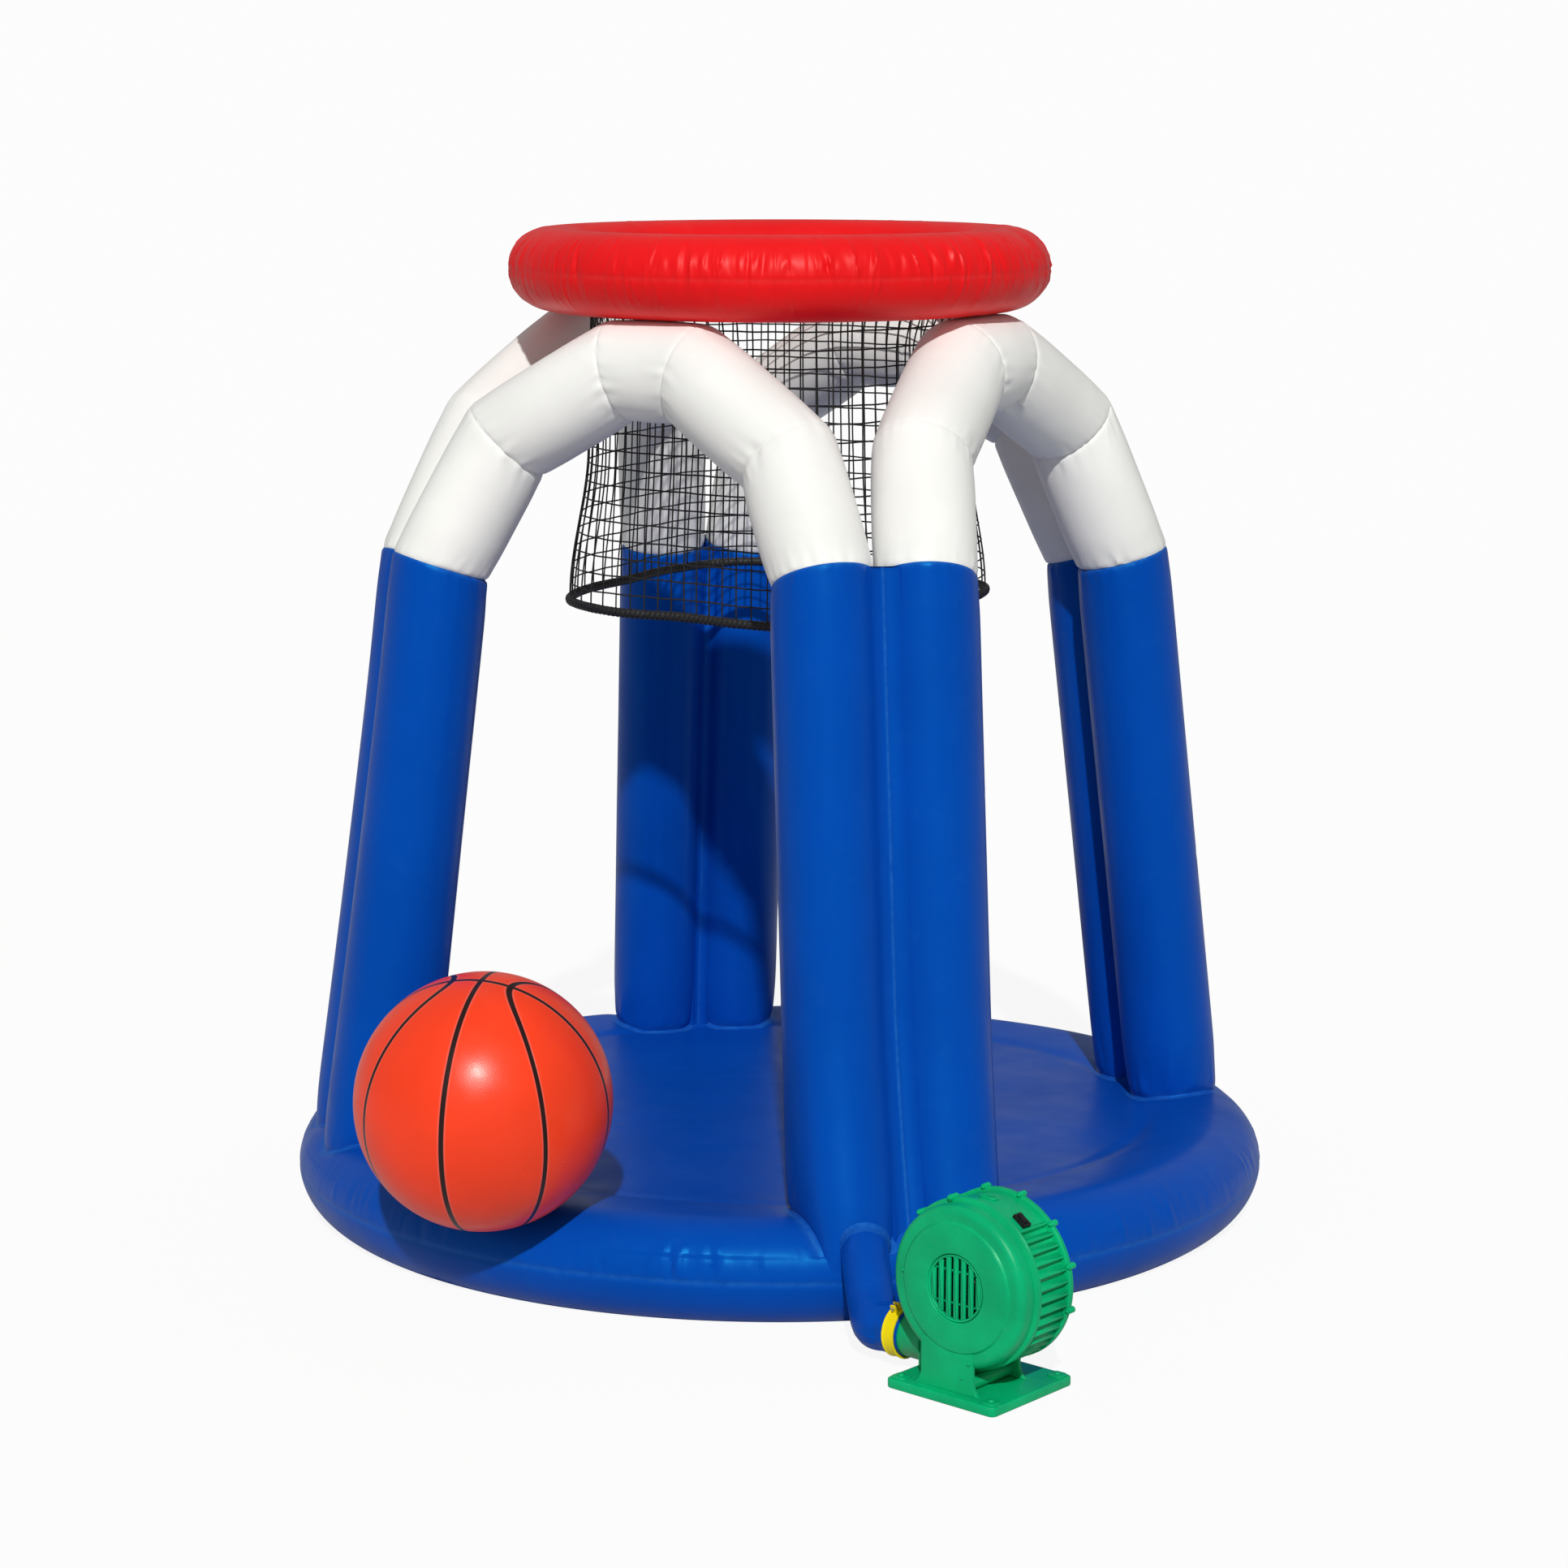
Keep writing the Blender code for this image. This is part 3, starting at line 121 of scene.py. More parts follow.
class TubeSettings(bpy.types.PropertyGroup):
    white: colour("Arch colour", "Coated fabric of the arches", (0.88, 0.885, 0.87))
    radius: length("Tube radius", "Radius of the leg and arch tubes", 0.107)
    pair_radius: length("Pair radius", "Distance of a leg pair from the axis, at the ground", 0.951)
    lean: number("Lean", "How far a leg leans in for each metre up", 0.117)
    flare: length("Foot flare", "How far a leg's outer side spreads over the rim at the ground", 0.030)
    flare_height: length("Flare height", "Where the spread of a leg's foot begins", 1.25)
    front_flare: length("Front foot flare", "The same spread for the pair beside the blower", 0.095)
    front_height: length("Front flare height", "Where that pair's spread begins", 0.60)
    junction: length("Junction height", "Where the blue legs meet the white arches", 1.444)
    crease: length("Crease depth", "Depth of the welds between the tubes", 0.0040)
    pucker: length("Pucker height", "Height of the wrinkles beside the welds", 0.0030)


class RingSettings(bpy.types.PropertyGroup):
    red: colour("Ring colour", "Coated fabric of the hoop ring", (0.80, 0.0055, 0.0080))
    gloss: share("Roughness", "How rough the ring's fabric is", 0.40)
    radius: length("Ring radius", "Centre line of the hoop ring", 0.511)
    tube: length("Ring tube radius", "Radius of the hoop ring's tube", 0.089)
    lean: number("Lean", "Lean of the hoop, in degrees", 5.5)
    lean_azimuth: number("Lean azimuth", "Side that is low, in degrees", 31.0)
    pucker: length("Pucker height", "Height of the wrinkles that cross the seam", 0.0058)


class NetSettings(bpy.types.PropertyGroup):
    cord: colour("Cord colour", "Net and ropes", (0.007, 0.007, 0.008))
    columns: IntProperty(name="Columns", description="Upright strands round the net", default=78, min=8)
    rows: IntProperty(name="Rows", description="Level strands between the ropes", default=17, min=2)
    strand: length("Strand radius", "Radius of one strand", 0.0018)
    stray: share("Stray", "How far a crossing strays from an even grid, as a share of a cell", 0.035)
    drop: length("Drop", "Foot rope below the crowns' centre line", 0.536)
    rope: length("Foot rope radius", "Radius of the rope round the net's foot", 0.0105)
    wrap: length("Wrap pitch", "Length of one turn of the lashing on the ropes", 0.0125)


class SleeveSettings(bpy.types.PropertyGroup):
    radius: length("Sleeve radius", "Radius of the inflation sleeve", 0.0462)
    strap: colour("Strap colour", "Plastic band that clamps the sleeve", (0.93, 0.74, 0.005))


class BlowerSettings(bpy.types.PropertyGroup):
    green: colour("Housing colour", "Moulded plastic of the blower", (0.0012, 0.43, 0.170))
    dark: colour("Dark plastic", "Motor, fan, switch and cord gland", (0.014, 0.014, 0.016))
    steel: colour("Steel colour", "Shaft, bearings and screws", (0.55, 0.56, 0.58))
    gloss: share("Roughness", "How rough the moulded plastic is", 0.30)
    housing: length("Housing radius", "Outer radius of the drum", 0.150)
    flange: length("Flange radius", "Outer radius of the drum's flanges", 0.158)
    ribs: IntProperty(name="Ribs", description="Ribs round the drum", default=36, min=4)
    slats: IntProperty(name="Slats", description="Upright slats of the intake grille", default=7, min=3)
    slat_pitch: length("Slat pitch", "From one slat of the grille to the next", 0.0170)
    land_depth: length("Land depth", "How far the land between the ribs lies below the housing", 0.0060)


class BallSettings(bpy.types.PropertyGroup):
    orange: colour("Ball colour", "Vinyl of the ball", (0.95, 0.050, 0.010))
    line: colour("Line colour", "Printed lines of the ball", (0.016, 0.004, 0.003))
    line_width: length("Line width", "Width of the printed lines", 0.0102)
    gloss: share("Roughness", "How rough the ball is", 0.31)


class StageSettings(bpy.types.PropertyGroup):
    floor: colour("Floor colour", "Floor as the camera sees it", (0.95, 0.95, 0.95))
    bounce: share("Floor bounce", "How pale the floor is for the light that it throws back", 0.60)
    key: FloatProperty(name="Key light", description="Strength of the key light", default=2.60, min=0.0)
    key_size: number("Key size", "Angle that the key light fills, in degrees", 1.6)
    fill: number("Fill light", "Strength of the light from all round", 0.30)
    key_azimuth: number("Key azimuth", "Where the key light stands", 31.0)
    key_height: number("Key height", "Height of the key light, in degrees", 38.0)
    lens: number("Lens", "Focal length in millimetres", 65.217)


GROUPS = {
    "hoop_base": BaseSettings,
    "hoop_tubes": TubeSettings,
    "hoop_ring": RingSettings,
    "hoop_net": NetSettings,
    "hoop_sleeve": SleeveSettings,
    "hoop_blower": BlowerSettings,
    "hoop_ball": BallSettings,
    "hoop_stage": StageSettings,
}


# Arrays


def unit(values):
    """Each vector divided by its length."""
    return values / np.linalg.norm(values, axis=-1, keepdims=True)


def outward(azimuth_deg):
    """Level unit vectors at these azimuths: (sin a, -cos a, 0)."""
    angle = np.radians(azimuth_deg)
    return np.stack([np.sin(angle), -np.cos(angle), 0.0 * angle], axis=-1)


def sideways(azimuth_deg):
    """Level unit vectors across these azimuths: (cos a, sin a, 0)."""
    angle = np.radians(azimuth_deg)
    return np.stack([np.cos(angle), np.sin(angle), 0.0 * angle], axis=-1)


def round_angles(count):
    """Angles that part a full turn evenly: 2 pi i / n."""
    return TAU * np.arange(count) / count


def distance_along(path):
    """How far each point of a path lies from its start, measured along the path."""
    return np.concatenate([[0.0], np.cumsum(np.linalg.norm(np.diff(path, axis=0), axis=1))])


def turned_about(axis, angle_deg):
    """The 3x3 turn about a unit axis: cos a I + sin a [axis]x + (1 - cos a) axis axisT."""
    x, y, z = axis
    cross = np.array([[0.0, -z, y], [z, 0.0, -x], [-y, x, 0.0]])
    angle = math.radians(angle_deg)
    return np.eye(3) + math.sin(angle) * cross + (1.0 - math.cos(angle)) * cross @ cross


def place(rotation=None, origin=(0.0, 0.0, 0.0)):
    """A 4x4 frame from a 3x3 turn and an origin."""
    made = np.eye(4)
    if rotation is not None:
        made[:3, :3] = rotation
    made[:3, 3] = origin
    return made


def moved(points, matrix):
    """Points carried into a frame: turn, then shift."""
    return points @ matrix[:3, :3].T + matrix[:3, 3]


def ease(value):
    """Smooth step of a value held between 0 and 1: 3 t^2 - 2 t^3."""
    t = np.clip(value, 0.0, 1.0)
    return t * t * (3.0 - 2.0 * t)


def wrinkles(along, across, girth, count, seed, width, reach, height):
    """Folds that cross a seam. Each is (x / w) exp(-(x / w)^2) across itself, so one side
    stands up and the other dips, and exp(-(y / l)^2) along itself. Their places, widths,
    lengths and slants are drawn from a seeded generator. along is the distance round the
    seam, which closes after the girth, and across is the distance from the seam."""
    rng = np.random.default_rng(seed)
    total = np.zeros(np.broadcast(along, across).shape)
    for _ in range(count):
        centre = rng.uniform(0.0, girth)
        wide = width * rng.uniform(0.55, 1.5)
        long = reach * rng.uniform(0.35, 1.3)
        side = rng.normal(0.0, 0.35) * reach
        slant = rng.normal(0.0, 0.16)
        high = height * rng.uniform(0.25, 1.0) * rng.choice((-1.0, 1.0))
        x = (along - centre + slant * across + girth / 2.0) % girth - girth / 2.0
        near = np.exp(-((across - side) / long) ** 2)
        total += high * (x / wide + 0.5) * np.exp(-((x / wide) ** 2)) * near
    return total


def sharp_creases(along, across, girth, count, seed, width, reach, height):
    """Thin raised lines that cross a seam, each exp(-|x| / w) across itself and
    exp(-(y / l)^4) along itself, with a slight bow. They are drawn as the folds are."""
    rng = np.random.default_rng(seed)
    total = np.zeros(np.broadcast(along, across).shape)
    for _ in range(count):
        centre = rng.uniform(0.0, girth)
        wide = width * rng.uniform(0.7, 1.4)
        long = reach * rng.uniform(0.4, 1.2)
        side = rng.normal(0.0, 0.25) * reach
        slant = rng.normal(0.0, 0.18)
        bow = rng.normal(0.0, 0.8)
        high = height * rng.uniform(0.3, 1.0)
        x = along - centre + slant * across + bow * across**2
        x = (x + girth / 2.0) % girth - girth / 2.0
        total += high * np.exp(-np.abs(x) / wide) * np.exp(-(((across - side) / long) ** 4))
    return total


def ripple(angle, seed, waves):
    """A closed curve of small waves: the mean of cos(k a + phase) over the wave counts."""
    rng = np.random.default_rng(seed)
    return sum(np.cos(k * angle + rng.uniform(0.0, TAU)) for k in waves) / len(waves)


class Mould:
    """Gathers grids of points into one mesh, with a weld mark for each point."""

    def __init__(self):
        self.points = []
        self.marks = []
        self.faces = []
        self.count = 0

    def add_points(self, points, mark):
        """Keeps points and their weld marks, and gives their numbers in the same layout."""
        flat = np.asarray(points, dtype=float).reshape(-1, 3)
        first = self.count
        self.points.append(flat)
        self.marks.append(np.broadcast_to(mark, np.shape(points)[:-1]).reshape(-1).astype(float))
        self.count += len(flat)
        return first + np.arange(len(flat)).reshape(np.shape(points)[:-1])

    def grid(self, points, wrap=True, loop=False, ends=(False, False), mark=0.0):
        """Quads over (rows, columns, 3) points. wrap closes each row on itself, loop joins
        the last row to the first, and ends close the first and last rows with fans."""
        ids = self.add_points(points, mark)
        rows = np.vstack([ids, ids[:1]]) if loop else ids
        closed = np.hstack([rows, rows[:, :1]]) if wrap else rows
        quads = np.stack([closed[:-1, :-1], closed[:-1, 1:], closed[1:, 1:], closed[1:, :-1]], axis=-1)
        self.faces.extend(quads.reshape(-1, 4).tolist())
        for wanted, row in zip(ends, (0, -1)):
            if wanted:
                centre = self.add_points(np.mean(points[row], axis=0)[None], np.mean(mark))[0]
                ring = ids[row]
                fan = np.stack([ring, np.roll(ring, -1), np.full(len(ring), centre)], axis=-1)
                self.faces.extend(fan.tolist())
        return self

    def turned(self, profile, matrix, columns=144, loop=False, ends=(False, False)):
        """A profile of (radius, height) carried round Z: (r cos a, r sin a, h)."""
        profile = np.asarray(profile, dtype=float)
        angle = round_angles(columns)
        radius = profile[:, :1]
        points = np.stack(
            [radius * np.cos(angle), radius * np.sin(angle), profile[:, 1:] + 0.0 * angle], axis=-1
        )
        return self.grid(moved(points, matrix), loop=loop, ends=ends)

    def slab(self, outline, matrix, low, high, edge):
        """A flat (x, y) outline thickened along Z, its two rims rounded by the edge: each
        ring is the outline drawn in by e (1 - cos b) and raised by e (1 - sin b)."""
        outline = np.asarray(outline, dtype=float)
        ahead = np.roll(outline, -1, axis=0) - outline
        behind = outline - np.roll(outline, 1, axis=0)
        tangent = unit(unit(ahead) + unit(behind))
        following = np.roll(outline, -1, axis=0)
        area = np.sum(outline[:, 0] * following[:, 1] - outline[:, 1] * following[:, 0])
        inward = np.stack([-tangent[:, 1], tangent[:, 0]], axis=-1) * math.copysign(1.0, area)
        rings = []
        for b in np.radians((0.0, 30.0, 60.0, 90.0)):
            rings.append((edge * (1.0 - math.sin(b)), low + edge * (1.0 - math.cos(b))))
        rings += [(inset, high - (level - low)) for inset, level in reversed(rings)]
        points = [
            np.column_stack([outline + inward * inset, np.full(len(outline), level)])
            for inset, level in rings
        ]
        last = self.grid(moved(np.stack(points), matrix)).count
        first = last - len(rings) * len(outline)
        self.faces.append(list(range(first, first + len(outline))))
        self.faces.append(list(range(last - len(outline), last)))
        return self

    def rod(self, path, radius, sides=10, closed=False, facing=None, caps=True):
        """A round section carried along a path: p + r (cos b n + sin b t x n). The radius
        may be a number or one for each point and side."""
        path = np.asarray(path, dtype=float)
        if closed:
            tangent = unit(np.roll(path, -1, axis=0) - np.roll(path, 1, axis=0))
        else:
            tangent = unit(np.gradient(path, axis=0))
        facing = UP if facing is None else facing
        normal = unit(facing - tangent * np.sum(facing * tangent, axis=-1, keepdims=True))
        other = np.cross(tangent, normal)
        angle = round_angles(sides)
        radius = np.broadcast_to(radius, (len(path), sides))[..., None]
        ring = np.cos(angle)[:, None] * normal[:, None] + np.sin(angle)[:, None] * other[:, None]
        points = path[:, None] + radius * ring
        return self.grid(points, loop=closed, ends=(caps and not closed,) * 2)

    def mesh(self, name):
        """The gathered mesh, with its faces turned to point outwards."""
        mesh = bpy.data.meshes.new(name)
        mesh.from_pydata(np.concatenate(self.points).tolist(), [], self.faces)
        shape = bmesh.new()
        shape.from_mesh(mesh)
        bmesh.ops.recalc_face_normals(shape, faces=shape.faces)
        shape.to_mesh(mesh)
        shape.free()
        # The weld mark makes the coated fabric duller and painted paler: partly wear, partly a painted
        # highlight along the seams.
        mark = mesh.attributes.new("weld", "FLOAT", "POINT")
        mark.data.foreach_set("value", np.concatenate(self.marks).astype(np.float32))
        mesh.update()
        return mesh


def set_piece(name, mould, material, replaced=(), body="hoop", sharp_deg=40.0):
    """Puts a mould in the scene as a piece that rides on a body and stands for nodes."""
    mesh = mould.mesh(name)
    mesh.materials.append(material)
    mesh.shade_smooth()
    mesh.set_sharp_from_angle(angle=math.radians(sharp_deg))
    piece = bpy.data.objects.new(name, mesh)
    bpy.context.scene.collection.objects.link(piece)
    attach(piece, body)
    if replaced:
        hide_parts(*replaced)


# Finishes


class Finish:
    """A Principled material whose nodes are added one after the other."""

    def __init__(self, name, base, roughness):
        self.material = bpy.data.materials.get(name) or bpy.data.materials.new(name)
        self.material.use_nodes = True
        self.nodes = self.material.node_tree.nodes
        self.links = self.material.node_tree.links
        self.shader = self.nodes["Principled BSDF"]
        self.shader.inputs["Base Color"].default_value = (*base, 1.0)
        self.shader.inputs["Roughness"].default_value = roughness
        self.coordinates = self.nodes.new("ShaderNodeTexCoord").outputs["Object"]

    def node(self, kind, inputs=None, **settings):
        """Adds a node; an input takes either a socket to link or a plain value."""
        made = self.nodes.new(kind)
        for key, value in settings.items():
            setattr(made, key, value)
        for key, value in (inputs or {}).items():
            if isinstance(value, bpy.types.NodeSocket):
                self.links.new(value, made.inputs[key])
            else:
                made.inputs[key].default_value = value
        return made

    def sum(self, operation, first, second=0.0, third=0.0):
        values = {0: first, 1: second, 2: third}
        return self.node("ShaderNodeMath", values, operation=operation).outputs[0]

    def noise(self, scale, detail=3.0, stretch=None):
        where = self.coordinates
        if stretch is not None:
            where = self.node("ShaderNodeMapping", {"Vector": where, "Scale": stretch}).outputs[0]
        inputs = {"Vector": where, "Scale": scale, "Detail": detail}
        return self.node("ShaderNodeTexNoise", inputs).outputs["Fac"]

    def ramp(self, value, low, high, floor=0.0, ceiling=1.0):
        """A straight line from the floor at low to the ceiling at high, held past both."""
        inputs = {"Value": value, "From Min": low, "From Max": high, "To Min": floor, "To Max": ceiling}
        return self.node("ShaderNodeMapRange", inputs).outputs[0]

    def mix(self, amount, first, second):
        made = self.node("ShaderNodeMix", data_type="RGBA")
        for key, value in (("Factor_Float", amount), ("A_Color", first), ("B_Color", second)):
            socket = next(s for s in made.inputs if s.identifier == key)
            if isinstance(value, bpy.types.NodeSocket):
                self.links.new(value, socket)
            else:
                socket.default_value = value if key == "Factor_Float" else (*value, 1.0)
        return next(s for s in made.outputs if s.identifier == "Result_Color")

    def attribute(self, name):
        return self.node("ShaderNodeAttribute", attribute_name=name).outputs["Fac"]

    def bump(self, height, distance, strength=1.0, below=None):
        inputs = {"Height": height, "Distance": distance, "Strength": strength}
        if below is not None:
            inputs["Normal"] = below
        return self.node("ShaderNodeBump", inputs).outputs[0]

    def shine(self, level, tint=WHITE):
        self.shader.inputs["Specular IOR Level"].default_value = level
        self.shader.inputs["Specular Tint"].default_value = (*tint, 1.0)

    def colour_from(self, socket):
        self.links.new(socket, self.shader.inputs["Base Color"])

    def roughness_from(self, socket):
        self.links.new(socket, self.shader.inputs["Roughness"])

    def normal_from(self, socket):
        self.links.new(socket, self.shader.inputs["Normal"])


def scaled(base, factor):
    """A colour times a factor, held between 0 and 1."""
    return tuple(min(1.0, max(0.0, channel * factor)) for channel in base)


def toward(base, target, amount):
    """A colour on its way from the base to the target: b + (t - b) a."""
    return tuple(float(b + (t - b) * amount) for b, t in zip(base, target))


def vinyl(name, base, roughness, weld_sheen_and_wear=0.10, slack=0.0016, shine=0.16, tint=WHITE):
    """Coated fabric: faint cloudy shade, a fine woven grain, slack dents, and welds that
    are duller from handling and paler, partly from wear and partly as a painted
    highlight in the reflection tint."""
    made = Finish(name, base, roughness)
    clouds = made.ramp(made.noise(3.2, 4.0), 0.35, 0.68)
    shade = made.mix(clouds, scaled(base, 0.94), scaled(base, 1.05))
    # The reflection tint made a little paler. The welds are painted towards it, partly as wear and partly as
    # a painted highlight, and the dust patches go towards it too.
    pale = toward(tint, WHITE, 0.1)
    dust = made.sum("MULTIPLY", made.ramp(made.noise(26.0, 6.0), 0.56, 0.80), 0.02)
    shade = made.mix(dust, shade, toward(base, pale, 0.5))
    welds = made.attribute("weld")
    # Weld marks broken up by noise: how far each point is painted paler, partly wear and partly a painted
    # highlight along the seams.
    wear_and_sheen = made.sum("MULTIPLY", welds, made.ramp(made.noise(60.0, 4.0), 0.30, 0.70, 0.25, 1.0))
    shade = made.mix(made.sum("MULTIPLY", wear_and_sheen, 0.8), shade, toward(base, pale, weld_sheen_and_wear))
    made.colour_from(shade)
    dull = made.ramp(made.noise(9.0, 5.0), 0.3, 0.7, roughness - 0.05, roughness + 0.07)
    made.roughness_from(made.sum("MULTIPLY_ADD", welds, 0.12, dull))
    dents = made.bump(made.noise(7.0, 2.0), slack)
    made.normal_from(made.bump(made.noise(420.0, 2.0), 0.00010, 0.6, dents))
    made.shine(shine, tint)
    return made.material


def moulded(name, base, roughness, grain=0.00012):
    """Injection-moulded plastic: slight shade drift, fine spark grain and faint scuffs."""
    made = Finish(name, base, roughness)
    drift = made.ramp(made.noise(11.0, 3.0), 0.35, 0.65)
    shade = made.mix(drift, scaled(base, 0.88), scaled(base, 1.10))
    scuffs = made.ramp(made.noise(90.0, 5.0, (1.0, 1.0, 3.0)), 0.62, 0.80)
    made.colour_from(made.mix(made.sum("MULTIPLY", scuffs, 0.10), shade, toward(base, PALE, 0.4)))
    made.roughness_from(made.ramp(made.noise(30.0, 4.0), 0.3, 0.7, roughness - 0.04, roughness + 0.10))
    made.normal_from(made.bump(made.noise(700.0, 2.0), grain))
    made.shine(0.32, toward(base, WHITE, 0.4))
    return made.material


def cord(name, base):
    """Twisted synthetic cord: short fibres that run along it, a little shiny."""
    made = Finish(name, base, 0.50)
    fibres = made.ramp(made.noise(320.0, 4.0), 0.35, 0.70)
    made.colour_from(made.mix(made.sum("MULTIPLY", fibres, 0.30), base, toward(base, PALE, 0.08)))
    made.normal_from(made.bump(made.noise(900.0, 3.0), 0.0004))
    made.shine(0.35)
    return made.material


def machined(name, base):
    """Turned steel: fine rings of varying roughness."""
    made = Finish(name, base, 0.30)
    made.shader.inputs["Metallic"].default_value = 1.0
    made.roughness_from(made.ramp(made.noise(160.0, 4.0, (1.0, 6.0, 1.0)), 0.3, 0.7, 0.22, 0.42))
    made.normal_from(made.bump(made.noise(600.0, 2.0), 0.00004))
    return made.material


# The base


def base_height(reach, settings):
    """Height of the base's top at a distance from the axis. The floor, f - d (r / R)^2,
    eases up to the rim's top over the blend, less a faint valley exp(-(x / w)^2), and
    past the rim's top it is the rim tube, c + sqrt(t^2 - (r - R)^2)."""
    level = settings.rim_tube - settings.sunk
    past = np.clip(reach - settings.rim_radius, 0.0, settings.rim_tube)
    rim = level + np.sqrt(settings.rim_tube**2 - past**2)
    floor = FLOOR_TOP + settings.fullness - 0.006 * (reach / settings.rim_radius) ** 2
    start = settings.rim_radius - settings.blend
    valley = settings.valley * np.exp(-(((reach - start - 0.35 * settings.blend) / 0.022) ** 2))
    return floor + (rim - floor) * ease((reach - start) / settings.blend) - valley


def leg_axes(tubes):
    """Foot and junction of each leg's centre line, keyed by its node's name."""
    axes = {}
    half = tubes.radius + GAP / 2.0
    for label, azimuth in SIDES:
        side, out = sideways(azimuth), outward(azimuth)
        for hand, sign in (("left", -1.0), ("right", 1.0)):
            ends = []
            for level in (0.0, tubes.junction):
                reach = tubes.pair_radius - tubes.lean * level
                across = (reach - half) * math.sqrt(0.5)
                distance = (reach + half) * math.sqrt(0.5)
                ends.append(side * sign * across + out * distance + UP * level)
            axes[f"leg_{label}_{hand}"] = ends
    return axes


def pair_azimuth(foot):
    """Azimuth of the pair that a foot belongs to: 45, 135, 225 or 315."""
    return 45.0 + 90.0 * math.floor(math.degrees(math.atan2(foot[0], -foot[1])) % 360.0 / 90.0)


# The pair by the blower spreads by its own values, and each other pair by a share of the flare
FRONT_PAIR = 45.0
SPREAD_SHARES = {135.0: 0.0, 225.0: 0.7, 315.0: 1.0}


def spread(points, facing, foot, base, tubes):
    """A leg's skin after its outer half has spread outwards by f (1 - z / h)^1.4 e(c / 0.75),
    where c is the cosine between the skin's direction and the pair's. The skin stays
    within the rim's outer side: a reach r past the limit m becomes
    r - s ln(1 + exp((r - m) / s))."""
    azimuth = pair_azimuth(foot)
    most, tall = tubes.front_flare, tubes.front_height
    if azimuth != FRONT_PAIR:
        most, tall = tubes.flare * SPREAD_SHARES[azimuth], tubes.flare_height
    rise = np.clip(1.0 - points[..., 2] / tall, 0.0, None) ** 1.4
    points = points + outward(azimuth) * (most * rise * ease(facing / 0.75))[..., None]
    reach = np.linalg.norm(points[..., :2], axis=-1)
    limit, soft = base.rim_radius + base.rim_tube - 0.0005, 0.004
    held = reach - soft * np.log1p(np.exp((reach - limit) / soft))
    points[..., :2] *= (held / reach)[..., None]
    return points


def weld_distance(points, base, tubes):
    """Distance of the base's points from the nearest leg's weld, a ring of points."""
    nearest = np.full(points.shape[:-1], 9.0)
    for foot, junction in leg_axes(tubes).values():
        out = outward(pair_azimuth(foot))
        circle, start = foot_ring(foot, junction, out, base, tubes, 256)
        weld = foot + circle + unit(junction - foot) * start[:, None]
        weld = spread(weld, unit(circle) @ out, foot, base, tubes)
        near = np.linalg.norm(points - foot, axis=-1) < 0.30
        apart = np.linalg.norm(points[near][:, None] - weld[None], axis=-1).min(axis=1)
        nearest[near] = np.minimum(nearest[near], apart)
    return nearest


def base_skin(base, tubes):
    """One closed skin. Its profile runs from the middle of the floor over the faint valley
    and the rim and round the rim's outside to the ground, and fans close the middle and
    the underside. Folds stand above the seam at the rim's widest, and the skin is drawn
    down beside each leg's weld."""
    level = base.rim_tube - base.sunk
    floor, rise = np.linspace(0.04, 0.78, 26), np.linspace(0.80, base.rim_radius, 46)
    inner = np.concatenate([[0.0], floor, rise])
    lowest = -math.asin(level / base.rim_tube)
    turn = np.linspace(math.pi / 2.0, lowest, 66)[1:]
    radius = np.concatenate([inner, base.rim_radius + base.rim_tube * np.cos(turn)])
    height = np.concatenate([base_height(inner, base), level + base.rim_tube * np.sin(turn)])
    columns = 960
    azimuth = 360.0 * np.arange(columns) / columns
    direction = outward(azimuth)
    lean = np.concatenate([np.full(len(inner), math.pi / 2.0), turn])
    slope = np.gradient(height[: len(inner)], inner)
    lean[: len(inner)] = math.pi / 2.0 + np.arctan(slope)
    normal = np.cos(lean)[:, None, None] * direction + np.sin(lean)[:, None, None] * UP
    points = radius[:, None, None] * direction + height[:, None, None] * UP
    along = np.radians(azimuth)[None] * (base.rim_radius + base.rim_tube)
    girth = TAU * (base.rim_radius + base.rim_tube)
    across = np.full(len(radius), 1.0)
    across[len(inner) :] = base.rim_tube * turn
    across = across[:, None]
    uneven = gathered(azimuth)[None]
    folds = wrinkles(along, across - 0.036, girth, 230, 11, 0.0095, 0.036, base.pucker) * uneven
    folds = folds * ease((across + 0.004) / 0.012)
    lines = sharp_creases(along, across - 0.042, girth, 190, 13, 0.0030, 0.044, 0.0026)
    folds = folds + lines * uneven * ease(across / 0.008)
    groove = -base.seam * np.exp(-np.abs(across) / 0.0045)
    groove = groove + 0.35 * base.seam * np.exp(-((across / 0.016) ** 2))
    feet = weld_distance(points, base, tubes)
    on_top = (lean[:, None] > 0.5).astype(float)
    drawn = -0.0055 * np.exp(-feet / 0.012) * on_top
    swell = 0.0022 * ripple(np.radians(azimuth), 5, (3, 5, 8))[None] * ease((radius[:, None] - 0.3) / 0.5)
    creases = floor_creases(points[..., :2]) * on_top
    shift = folds + groove + drawn + swell * on_top + creases
    shift *= ease((height[:, None] + 0.002) / 0.03)
    mark = np.maximum(np.exp(-np.abs(across) / 0.003) * 0.8, np.exp(-feet / 0.006) * on_top)
    points = points + normal * shift[..., None]
    return Mould().grid(points[1:], mark=mark[1:], ends=(True, True))


def gathered(azimuth_deg):
    """How strongly the rim is puckered: 0.1 all round, and a hump exp(-(d / w)^2) on both
    sides of each pair of legs, where the weld pulls the fabric in."""
    total = np.full(np.shape(azimuth_deg), 0.10)
    for pair, left, right in ((45.0, 1.0, 0.5), (135.0, 0.4, 0.5), (225.0, 0.6, 0.5), (315.0, 0.5, 0.4)):
        for offset, strength in ((-27.0, left), (27.0, right)):
            apart = (azimuth_deg - pair - offset + 180.0) % 360.0 - 180.0
            total = total + strength * np.exp(-((apart / 10.0) ** 2))
    return total


